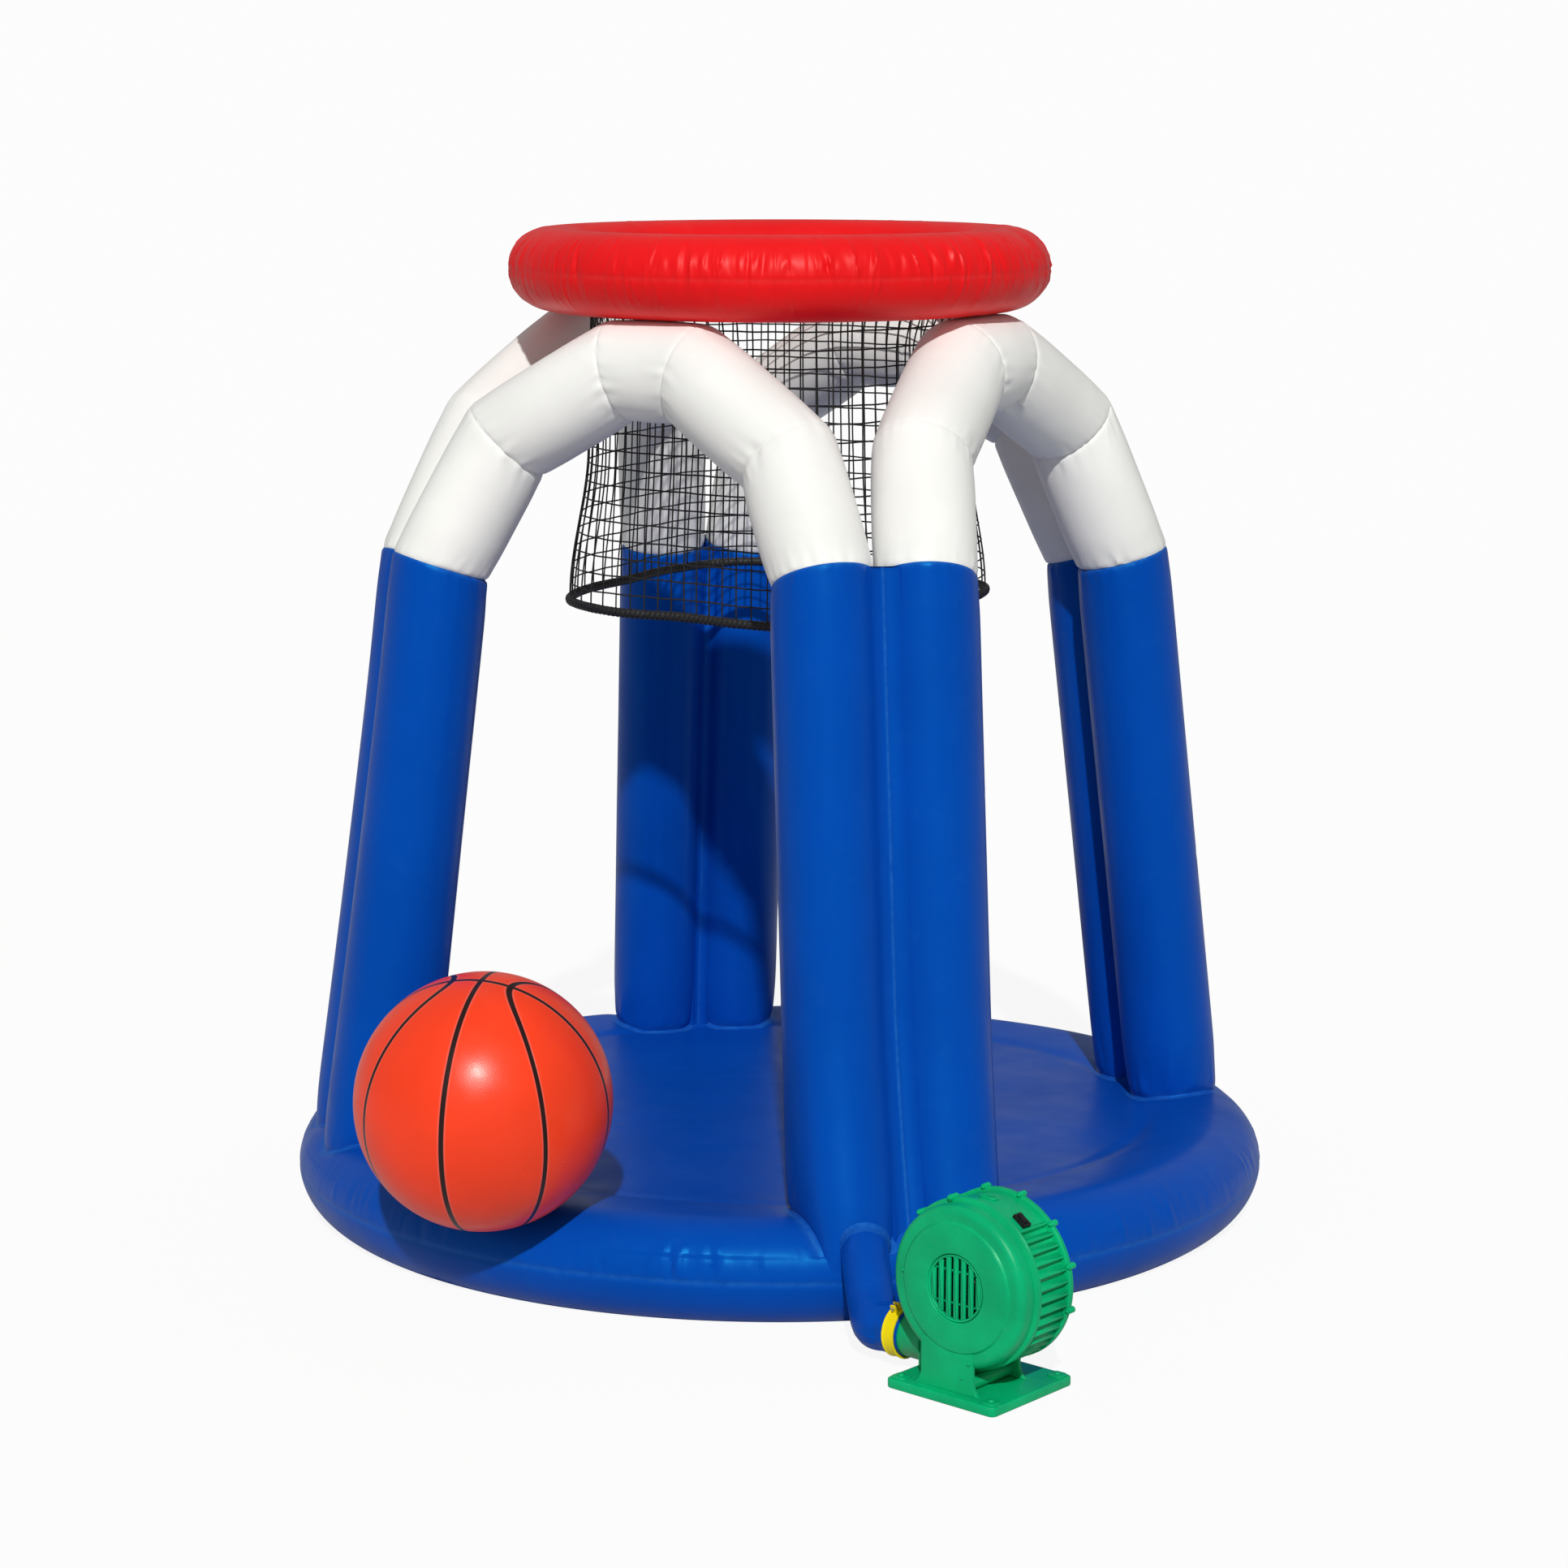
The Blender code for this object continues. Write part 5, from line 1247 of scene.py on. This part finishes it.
def rear_cover(blower):
    """The dished rear cover with the motor's round housing and its lid, ten ribs round
    that housing's side, and the rear upright."""
    housing, flange = blower.housing, blower.flange
    outside = np.vstack(
        [
            [(flange, -0.0400), (flange, -0.0430)],
            arc((flange - 0.0012, -0.0430), 0.0012, 0.0, -90.0, 4),
            [(housing + 0.0005, -0.0442)],
            arc((housing - 0.008, -0.0480), 0.0080, 0.0, -75.0, 6),
            [(0.070, -0.0565)],
            arc((0.0655, -0.0605), 0.0040, 90.0, 180.0, 5),
            arc((0.0615 - 0.008, -0.0935), 0.0080, 0.0, -90.0, 8),
        ]
    )
    wall = housing - 0.004
    inside = [(0.0535, -0.0985), (0.058, -0.0935), (0.058, -0.0530), (wall, -0.0445), (wall, -0.0400)]
    lid = [(0.0545, -0.0980), (0.0545, -0.1014), (0.0010, -0.1014), (0.0010, -0.0984)]
    mould = Mould()
    mould.turned(np.vstack([outside, inside]), fan_place(), 176, loop=True)
    mould.turned(lid, fan_place(), 96, loop=True)
    for i in range(10):
        side = spun(fan_place(), 36.0 * i + 18.0, (0.0610, 0.0, -0.0760))
        mould.slab(rounded_box(0.0035, 0.022, 0.001), side, -0.012, 0.012, 0.0008)
    mould.slab(upright_outline(0.096), upright_place(-0.0478), 0.0, 0.0080, 0.0012)
    return add_bosses(mould, (-0.0500, -0.0330), blower, REAR_BOSSES)


def rounded_box(width, height, radius, count=6):
    """A rectangle's outline with round corners."""
    x, y = width / 2.0 - radius, height / 2.0 - radius
    corners = ((x, y, 0.0), (-x, y, 90.0), (-x, -y, 180.0), (x, -y, 270.0))
    return np.vstack([arc((a, b), radius, start, start + 90.0, count) for a, b, start in corners])


def grille(blower):
    """The intake grille: a thin ring and upright slats with rounded fronts, each deep
    enough to hide most of what lies behind it from the side, and two ties at the back."""
    mould = Mould()
    ring = [(0.0575, 0.0935), (0.0616, 0.0935), (0.0616, 0.0996), (0.0608, 0.1002), (0.0590, 0.1000)]
    mould.turned([*ring, (0.0575, 0.0985)], fan_place(), 144, loop=True)
    for i in range(blower.slats):
        x = (i - (blower.slats - 1) / 2.0) * blower.slat_pitch
        half = math.sqrt(0.0590**2 - x**2) - 0.0005
        slat = rounded_box(0.0110, 2.0 * half, 0.0015, 3)
        mould.slab(slat, fan_place() @ place(None, (x, 0.0, 0.0)), 0.0925, 0.0996, 0.0030)
    for y in (-0.030, 0.030):
        half = math.sqrt(0.0585**2 - y**2)
        tie = rounded_box(2.0 * half, 0.0035, 0.001, 3)
        mould.slab(tie, fan_place() @ place(None, (0.0, y, 0.0)), 0.0905, 0.0930, 0.0005)
    return mould


def foot_plate():
    """The blower's foot: a plate with round corners, four raised pads with screw heads,
    and a round spacer between the uprights."""
    mould = Mould()
    mould.slab(rounded_box(0.250, 0.240, 0.012), blower_place(), 0.0, 0.0180, 0.0030)
    for x in (-0.104, 0.104):
        for y in (-0.099, 0.099):
            corner = blower_place() @ place(None, (x, y, 0.0))
            mould.slab(rounded_box(0.030, 0.030, 0.008), corner, 0.0170, 0.0215, 0.0010)
            head = [(0.0058, 0.0212), (0.0058, 0.0235), (0.0046, 0.0250), (0.0010, 0.0255)]
            mould.turned(head, corner, 24, ends=(True, True))
    spacer = blower_place() @ place(UPRIGHT, (0.034, 0.0, 0.0315))
    wall = [(0.0125, -0.040), (0.0125, 0.0884), (0.0090, 0.0884), (0.0090, -0.040)]
    return mould.turned(wall, spacer, 48, loop=True)


# The sleeve, its strap and the ball

# The sleeve's way out of the rim, and the side that its round section starts from
SLEEVE_ROOT = ((0.640, -0.762, 0.170), (0.690, -0.832, 0.166), (0.732, -0.893, 0.130))
SLEEVE_START = np.array([0.3, 0.2, 1.0])
# The strap's middle along the outlet's axis, and its angle for the lugs
STRAP_MIDDLE, LUG_ANGLE = -0.174, 205.0
# Directions across the ball's middle line and out of its equator line
BALL_ACROSS = (0.9466, 0.3178, -0.0539)
BALL_POLE = (0.3044, -0.9363, -0.1754)


def smooth_route(points, per_span):
    """A curve through the points: on each span, the cubic whose slope at a point is half
    the step from the point before to the point after."""
    points = np.asarray(points, dtype=float)
    line = np.vstack([2 * points[0] - points[1], points, 2 * points[-1] - points[-2]])
    t = (np.arange(per_span) / per_span)[:, None]
    spans = []
    for a, b, c, d in zip(line, line[1:], line[2:], line[3:]):
        cubic = 2 * b + (c - a) * t + (2 * a - 5 * b + 4 * c - d) * t**2 + (3 * b - a - 3 * c + d) * t**3
        spans.append(0.5 * cubic)
    return np.vstack([*spans, points[-1:]])


def sleeve_skin(sleeve):
    """The sleeve: a round section along its route, folded where it bends, gathered under
    the strap, with a short free cuff past it and a lining inside that cuff."""
    out = outlet_place()
    route = [*SLEEVE_ROOT, (0.770, -0.942, 0.090)]
    route += [moved(np.array([0.0, 0.0, x]), out) for x in (-0.240, -0.210, -0.1825, -0.155)]
    path = smooth_route(route, 26)
    size = distance_along(path)
    way = size[:, None]
    sides = 96
    angle = round_angles(sides)[None]
    radius = sleeve.radius
    strap_at = size[-1] - 0.019
    pinch = -0.0012 * np.exp(-(((way - strap_at) / 0.013) ** 4))
    folds = wrinkles(angle * radius, way - strap_at + 0.030, TAU * radius, 30, 31, 0.0060, 0.030, 0.0022)
    bends = wrinkles(angle * radius, way - 0.115, TAU * radius, 18, 32, 0.0110, 0.045, 0.0028)
    root = 0.0010 * ripple(angle, 33, (7, 11, 16)) * np.exp(-way / 0.05)
    free = 1.0 - np.exp(-(((way - strap_at) / 0.016) ** 4))
    thick = radius + pinch + (folds + bends) * free + root
    thick = thick - 0.0006 * np.exp(-(size[-1] - way) / 0.004)
    mould = Mould().rod(path, thick, sides=sides, facing=SLEEVE_START, caps=False)
    return mould.rod(path[-12:][::-1], radius - 0.0022, sides=sides, facing=SLEEVE_START, caps=False)


def sleeve_collar(sleeve):
    """The weld at the sleeve's root: a short band round the sleeve, r + c + d (1 - t)^3
    with small waves, that thins along the sleeve and is marked as a weld all over, so
    that it is duller and painted paler, partly as wear and partly as a painted highlight."""
    path = smooth_route(SLEEVE_ROOT, 60)[64:76]
    count, sides = len(path), 96
    t = np.linspace(0.0, 1.0, count)[:, None]
    angle = round_angles(sides)[None]
    waves = 0.0009 * ripple(angle, 35, (6, 13, 21)) * (1.0 - t)
    thick = sleeve.radius + 0.0022 + 0.0050 * (1.0 - t) ** 3 + waves
    thick = thick - 0.0024 * ease((t - 0.9) / 0.1)
    mould = Mould().rod(path, thick, sides=sides, facing=SLEEVE_START)
    # Every point counts as a weld, so the whole collar is painted paler: partly wear, partly a painted
    # highlight.
    mould.marks = [np.full(len(mark), 0.55) for mark in mould.marks]
    return mould


def strap(sleeve):
    """The clamp band: a flat ring with raised rims, a groove round its middle, and two
    lugs that the screw draws together."""
    inner, outer, half = sleeve.radius + 0.0004, sleeve.radius + 0.0042, 0.0135
    steps = [
        (inner, 0.0),
        (outer - 0.0006, 0.0),
        (outer, 0.0006),
        (outer, 0.0035),
        (outer - 0.0011, 0.0045),
    ]
    profile = both_sides(steps, STRAP_MIDDLE + half, STRAP_MIDDLE - half)
    mould = Mould().turned(profile, outlet_place(), 144, loop=True)
    for y in (-0.0062, 0.0038):
        at = (outer + 0.0060, y + 0.0024, STRAP_MIDDLE)
        lug = spun(outlet_place(), LUG_ANGLE, at) @ place(UPRIGHT)
        mould.slab(rounded_box(0.0150, 0.0160, 0.0035), lug, 0.0, 0.0030, 0.0006)
    return mould


def ball_skin():
    """A sphere by its two angles, (sin b cos a, sin b sin a, cos b), closed at both poles."""
    rows, columns = 120, 240
    polar = (math.pi * (np.arange(1, rows) / rows))[:, None]
    azimuth = round_angles(columns)[None]
    x, y = np.sin(polar) * np.cos(azimuth), np.sin(polar) * np.sin(azimuth)
    directions = np.stack([x, y, np.cos(polar) + 0.0 * azimuth], axis=-1)
    mould = Mould()
    mould.grid(BALL_CENTRE + BALL_RADIUS * directions)
    for first, end in ((0, 1.0), ((rows - 2) * columns, -1.0)):
        ring = first + np.arange(columns)
        tip = mould.add_points(np.array([[0.0, 0.0, end]]) * BALL_RADIUS + BALL_CENTRE, 0.0)[0]
        fan = np.stack([ring, np.roll(ring, -1), np.full(columns, tip)], axis=-1)
        mould.faces.extend(fan.tolist())
    return mould


def ball_vinyl(settings):
    """Printed ball: with y across the middle line and z over the equator line, the lines
    lie where |y|, |z| and ||y| + 0.03 - sqrt(0.07 + z^2)| are small. Beside each
    line the print is a little paler, and the vinyl has a fine pebbled grain."""
    made = Finish("ball_vinyl", settings.orange, settings.gloss)

    def vectors(operation, first, second=(0.0, 0.0, 0.0)):
        return made.node("ShaderNodeVectorMath", {0: first, 1: second}, operation=operation).outputs

    way = vectors("NORMALIZE", vectors("SUBTRACT", made.coordinates, tuple(BALL_CENTRE))[0])[0]

    def part(direction):
        return vectors("DOT_PRODUCT", way, direction)["Value"]

    y = made.sum("ABSOLUTE", part(BALL_ACROSS))
    z = made.sum("ABSOLUTE", part(BALL_POLE))
    bow = made.sum("SQRT", made.sum("MULTIPLY_ADD", z, z, 0.070))
    oval = made.sum("ABSOLUTE", made.sum("SUBTRACT", made.sum("ADD", y, 0.030), bow))
    nearest = made.sum("MINIMUM", made.sum("MINIMUM", y, z), made.sum("MULTIPLY", oval, 0.80))
    half = settings.line_width / 2.0 / BALL_RADIUS
    line = made.ramp(nearest, half * 0.85, half * 1.10, 1.0, 0.0)
    halo = made.ramp(nearest, half * 1.1, half * 1.9, 0.25, 0.0)
    clouds = made.ramp(made.noise(5.0, 3.0), 0.35, 0.65)
    shade = made.mix(clouds, scaled(settings.orange, 0.94), scaled(settings.orange, 1.05))
    shade = made.mix(halo, shade, toward(settings.orange, PALE, 0.35))
    made.colour_from(made.mix(line, shade, tuple(settings.line)))
    gloss = settings.gloss
    made.roughness_from(made.ramp(made.noise(24.0, 4.0), 0.3, 0.7, gloss - 0.04, gloss + 0.06))
    sunk = made.bump(made.sum("SUBTRACT", 1.0, line), 0.0008)
    made.normal_from(made.bump(made.noise(300.0, 2.0), 0.00022, 0.7, sunk))
    made.shine(0.35)
    return made.material


# Operators

CAMERA_AT = (3.3158, -5.5185, 1.778)
CAMERA_WAY = (-0.50932, 0.85057, -0.13070)
# Width of the camera's picture plane in millimetres
CAMERA_SENSOR = 36.0


class HoopOperator:
    """What the operators share."""

    bl_options = {"REGISTER", "UNDO"}

    @staticmethod
    def blue(scene):
        settings = scene.hoop_base
        base, tint = tuple(settings.vinyl), tuple(settings.reflection)
        # Welds are painted well towards the pale reflection tint: partly wear, partly a painted highlight
        # along the seams.
        return vinyl("blue_vinyl_skin", base, settings.gloss, weld_sheen_and_wear=0.18, shine=0.30, tint=tint)


class HOOP_OT_stage(HoopOperator, bpy.types.Operator):
    """Make the pale floor, the lights and the camera"""

    bl_idname = "hoop.stage"
    bl_label = "Stage"

    def execute(self, context):
        scene, settings = context.scene, context.scene.hoop_stage
        make_floor(settings)
        make_world(scene, settings)
        make_key(scene, settings)
        make_camera(scene, settings)
        scene.view_settings.view_transform = "Standard"
        return {"FINISHED"}


def make_floor(settings):
    """A wide level sheet. For the camera it is mostly plain white, so that the shadow
    stays and the rest runs into the background."""
    edge = np.linspace(-30.0, 30.0, 13)
    x, y = np.meshgrid(edge, edge)
    sheet = Mould().grid(np.stack([x, y, np.full(x.shape, -0.0005)], axis=-1), wrap=False)
    mesh = sheet.mesh("studio_floor")
    if mesh.polygons[0].normal.z < 0.0:
        mesh.flip_normals()
    floor = bpy.data.objects.new("studio_floor", mesh)
    bpy.context.scene.collection.objects.link(floor)
    made = Finish("studio_floor", tuple(settings.floor), 0.9)
    made.shine(0.0)
    seen = made.node("ShaderNodeLightPath").outputs
    grey = (settings.bounce,) * 3
    made.colour_from(made.mix(seen["Is Camera Ray"], grey, tuple(settings.floor)))
    plain = made.node("ShaderNodeEmission", {"Color": (1.0, 1.0, 1.0, 1.0), "Strength": 1.0}).outputs[0]
    mixed = made.node("ShaderNodeMixShader", {0: made.sum("MULTIPLY", seen["Is Camera Ray"], 0.90)})
    made.links.new(made.shader.outputs[0], mixed.inputs[1])
    made.links.new(plain, mixed.inputs[2])
    made.links.new(mixed.outputs[0], made.nodes["Material Output"].inputs["Surface"])
    mesh.materials.append(made.material)


def make_world(scene, settings):
    """Even light from all round, shown as white to the camera and through clear pieces."""
    world = bpy.data.worlds.new("studio")
    scene.world = world
    world.use_nodes = True
    nodes, links = world.node_tree.nodes, world.node_tree.links
    nodes.clear()
    path = nodes.new("ShaderNodeLightPath")
    either = nodes.new("ShaderNodeMath")
    either.operation = "MAXIMUM"
    links.new(path.outputs["Is Camera Ray"], either.inputs[0])
    links.new(path.outputs["Is Transmission Ray"], either.inputs[1])
    light, shown = nodes.new("ShaderNodeBackground"), nodes.new("ShaderNodeBackground")
    light.inputs["Color"].default_value = (0.98, 1.0, 0.985, 1.0)
    light.inputs["Strength"].default_value = settings.fill
    shown.inputs["Strength"].default_value = SHOWN_WHITE
    shown.inputs["Color"].default_value = (1.0, 1.0, 1.0, 1.0)
    mixed, output = nodes.new("ShaderNodeMixShader"), nodes.new("ShaderNodeOutputWorld")
    links.new(either.outputs[0], mixed.inputs[0])
    links.new(light.outputs[0], mixed.inputs[1])
    links.new(shown.outputs[0], mixed.inputs[2])
    links.new(mixed.outputs[0], output.inputs["Surface"])


def make_key(scene, settings):
    """A slightly warm, distant lamp from the side that the picture is lit from."""
    lamp = bpy.data.lights.new("key", "SUN")
    lamp.energy = settings.key
    lamp.angle = math.radians(settings.key_size)
    lamp.color = (1.0, 0.985, 0.955)
    key = bpy.data.objects.new("key", lamp)
    scene.collection.objects.link(key)
    height = math.radians(settings.key_height)
    way = outward(settings.key_azimuth) * math.cos(height) + UP * math.sin(height)
    key.rotation_euler = Vector(way).to_track_quat("Z", "Y").to_euler()


def make_camera(scene, settings):
    """The photograph's viewpoint: azimuth 31, a little above the hoop's shoulders."""
    data = bpy.data.cameras.new("camera")
    data.sensor_width = CAMERA_SENSOR
    data.lens = settings.lens
    data.clip_end = 200.0
    camera = bpy.data.objects.new("camera", data)
    scene.collection.objects.link(camera)
    camera.location = CAMERA_AT
    camera.rotation_euler = Vector(CAMERA_WAY).to_track_quat("-Z", "Y").to_euler()
    scene.camera = camera


class HOOP_OT_base(HoopOperator, bpy.types.Operator):
    """Make the base's skin, from the middle of the floor round the rim and back under"""

    bl_idname = "hoop.base"
    bl_label = "Base"

    def execute(self, context):
        scene = context.scene
        skin = base_skin(scene.hoop_base, scene.hoop_tubes)
        nodes = ("base_rim", "base_floor")
        set_piece("base_skin", skin, self.blue(scene), nodes)
        return {"FINISHED"}


class HOOP_OT_legs(HoopOperator, bpy.types.Operator):
    """Make the eight leg tubes and the webs between the tubes of each pair"""

    bl_idname = "hoop.legs"
    bl_label = "Legs"

    def execute(self, context):
        scene = context.scene
        tubes, base, ring = scene.hoop_tubes, scene.hoop_base, scene.hoop_ring
        blue = self.blue(scene)
        axes = leg_axes(tubes)
        seed = 100
        for label, azimuth in SIDES:
            corners = arch_corners(azimuth, tubes, ring)
            for hand, following in (("left", corners[1]), ("right", corners[-2])):
                name = f"leg_{label}_{hand}"
                foot, junction = axes[name]
                skin = leg_skin(foot, junction, following, outward(azimuth), base, tubes, seed)
                set_piece(name + "_skin", skin, blue, (name,))
                seed += 17
        labels, azimuths = zip(*SIDES)
        for i, label in enumerate(labels):
            pair = (axes[f"leg_{label}_right"], axes[f"leg_{labels[(i + 1) % 4]}_left"])
            following = arch_corners(azimuths[i], tubes, ring)[-2]
            for outer in (True, False):
                web = seam_strip(pair, following, base, tubes, outer)
                where = "outer" if outer else "inner"
                set_piece(f"leg_web_{label}_{where}", web, blue)
        return {"FINISHED"}


class HOOP_OT_arches(HoopOperator, bpy.types.Operator):
    """Make the four white arches, each a tube with four mitred welds"""

    bl_idname = "hoop.arches"
    bl_label = "Arches"

    def execute(self, context):
        scene = context.scene
        tubes, ring = scene.hoop_tubes, scene.hoop_ring
        white = vinyl("white_vinyl_skin", tuple(tubes.white), 0.40, weld_sheen_and_wear=0.0)
        axes = leg_axes(tubes)
        parts = ("lower_left", "upper_left", "crown", "upper_right", "lower_right")
        for i, (label, azimuth) in enumerate(SIDES):
            corners = arch_corners(azimuth, tubes, ring)
            ways = unit(np.diff(corners, axis=0))
            left = unit(axes[f"leg_{label}_left"][1] - axes[f"leg_{label}_left"][0])
            right = unit(axes[f"leg_{label}_right"][0] - axes[f"leg_{label}_right"][1])
            normals = unit(np.vstack([left, ways]) + np.vstack([ways, right]))
            points, marks = tube_skin(
                corners, normals, outward(azimuth), tubes.radius, 44, tubes.crease, tubes.pucker, 300 + 53 * i
            )
            mould = Mould().grid(points, mark=marks, ends=(True, True))
            nodes = [f"arch_{label}_{part}" for part in parts]
            set_piece(f"arch_{label}_skin", mould, white, nodes)
        return {"FINISHED"}


class HOOP_OT_ring(HoopOperator, bpy.types.Operator):
    """Make the red hoop ring"""

    bl_idname = "hoop.ring"
    bl_label = "Hoop ring"

    def execute(self, context):
        scene = context.scene
        ring = scene.hoop_ring
        # The welds are painted a little towards a pale pink reflection tint: partly wear, partly a painted
        # highlight.
        looks = {"weld_sheen_and_wear": 0.06, "slack": 0.0020, "shine": 0.34, "tint": (1.0, 0.50, 0.50)}
        red = vinyl("red_vinyl_skin", tuple(ring.red), ring.gloss, **looks)
        skin = ring_skin(ring, scene.hoop_tubes)
        set_piece("hoop_ring_skin", skin, red, ("hoop_ring",))
        return {"FINISHED"}


class HOOP_OT_net(HoopOperator, bpy.types.Operator):
    """Make the net's strands"""

    bl_idname = "hoop.net"
    bl_label = "Net"

    def execute(self, context):
        scene = context.scene
        black = cord("black_net_cord", tuple(scene.hoop_net.cord))
        strands = net_strands(scene.hoop_ring, scene.hoop_tubes, scene.hoop_net)
        nodes = [f"net_{label}_{hand}" for label, _ in SIDES for hand in ("left", "right")]
        set_piece("net_strands", strands, black, nodes, sharp_deg=70.0)
        return {"FINISHED"}


class HOOP_OT_ropes(HoopOperator, bpy.types.Operator):
    """Make the lashed ropes at the net's top and foot"""

    bl_idname = "hoop.ropes"
    bl_label = "Net ropes"

    def execute(self, context):
        scene = context.scene
        ring, tubes, net = scene.hoop_ring, scene.hoop_tubes, scene.hoop_net
        black = cord("black_net_cord", tuple(net.cord))
        top_radius, top_level = top_rope_place(ring, tubes)

        def foot_reach(azimuth):
            points = net_point(azimuth, np.ones(len(azimuth)), ring, tubes, net)
            return np.linalg.norm(points[:, :2], axis=1)

        def top_reach(azimuth):
            return np.full(len(azimuth), top_radius)

        foot = rope_loop(foot_reach, -net.drop, net.rope, net.wrap, ring, 41)
        top = rope_loop(top_reach, top_level, TOP_ROPE, net.wrap * 0.8, ring, 42)
        for name, mould in (("net_foot_rope", foot), ("net_top_rope", top)):
            set_piece(name + "_lashed", mould, black, (name,), sharp_deg=80.0)
        return {"FINISHED"}


class HOOP_OT_blower(HoopOperator, bpy.types.Operator):
    """Make the blower's covers, drum, grille and foot"""

    bl_idname = "hoop.blower"
    bl_label = "Blower housing"

    def execute(self, context):
        blower = context.scene.hoop_blower
        green = moulded("green_plastic_moulded", tuple(blower.green), blower.gloss)
        pieces = (
            ("blower_front", front_cover(blower), "blower_front_cover"),
            ("blower_band", drum(blower), "blower_drum"),
            ("blower_rear", rear_cover(blower), "blower_rear_cover"),
            ("blower_grille", grille(blower), "intake_grille"),
            ("blower_foot", foot_plate(), "blower_foot_plate"),
        )
        for name, mould, node in pieces:
            set_piece(name, mould, green, (node,))
        return {"FINISHED"}


class HOOP_OT_fittings(HoopOperator, bpy.types.Operator):
    """Finish the blower's fan, motor, switch, cord gland and screws"""

    bl_idname = "hoop.fittings"
    bl_label = "Blower fittings"

    def execute(self, context):
        blower = context.scene.hoop_blower
        dark = moulded("dark_plastic_moulded", tuple(blower.dark), 0.42, grain=0.0002)
        steel = machined("steel_machined", tuple(blower.steel))
        plastic = ("motor_can", "impeller", "switch_bezel", "switch_rocker", "cord_gland")
        metal = ("motor_front_bearing", "motor_rear_bearing", "motor_shaft", "strap_screw")
        for names, material in ((plastic, dark), (metal, steel)):
            for name in names:
                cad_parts[name].material_slots[0].material = material
        return {"FINISHED"}


class HOOP_OT_sleeve(HoopOperator, bpy.types.Operator):
    """Make the inflation sleeve, its welded collar and its clamp strap"""

    bl_idname = "hoop.sleeve"
    bl_label = "Sleeve and strap"

    def execute(self, context):
        scene = context.scene
        sleeve = scene.hoop_sleeve
        blue = self.blue(scene)
        yellow = moulded("yellow_strap_moulded", tuple(sleeve.strap), 0.36)
        skin = sleeve_skin(sleeve)
        set_piece("inflation_sleeve_skin", skin, blue, ("inflation_sleeve",))
        set_piece("sleeve_collar", sleeve_collar(sleeve), blue)
        set_piece("sleeve_strap_band", strap(sleeve), yellow, ("sleeve_strap",))
        return {"FINISHED"}


class HOOP_OT_ball(HoopOperator, bpy.types.Operator):
    """Make the ball"""

    bl_idname = "hoop.ball"
    bl_label = "Ball"

    def execute(self, context):
        material = ball_vinyl(context.scene.hoop_ball)
        set_piece("ball_skin", ball_skin(), material, ("play_ball",), body="ball")
        return {"FINISHED"}


OPERATORS = (
    HOOP_OT_stage,
    HOOP_OT_base,
    HOOP_OT_legs,
    HOOP_OT_arches,
    HOOP_OT_ring,
    HOOP_OT_net,
    HOOP_OT_ropes,
    HOOP_OT_blower,
    HOOP_OT_fittings,
    HOOP_OT_sleeve,
    HOOP_OT_ball,
)


class HOOP_PT_panel(bpy.types.Panel):
    """Lists the operators in the 3D view's sidebar"""

    bl_idname = "HOOP_PT_panel"
    bl_label = "Inflatable hoop"
    bl_space_type = "VIEW_3D"
    bl_region_type = "UI"
    bl_category = "Hoop"

    def draw(self, context):
        for operator in OPERATORS:
            self.layout.operator(operator.bl_idname)


def register():
    for group in GROUPS.values():
        bpy.utils.register_class(group)
    for name, group in GROUPS.items():
        setattr(bpy.types.Scene, name, PointerProperty(type=group))
    for operator in OPERATORS:
        bpy.utils.register_class(operator)
    bpy.utils.register_class(HOOP_PT_panel)


def unregister():
    bpy.utils.unregister_class(HOOP_PT_panel)
    for operator in reversed(OPERATORS):
        bpy.utils.unregister_class(operator)
    for name, group in GROUPS.items():
        delattr(bpy.types.Scene, name)
        bpy.utils.unregister_class(group)


def main():
    register()
    bpy.ops.hoop.stage()
    bpy.ops.hoop.base()
    bpy.ops.hoop.legs()
    bpy.ops.hoop.arches()
    bpy.ops.hoop.ring()
    bpy.ops.hoop.net()
    bpy.ops.hoop.ropes()
    bpy.ops.hoop.blower()
    bpy.ops.hoop.fittings()
    bpy.ops.hoop.sleeve()
    bpy.ops.hoop.ball()


if __name__ == "__main__":
    main()
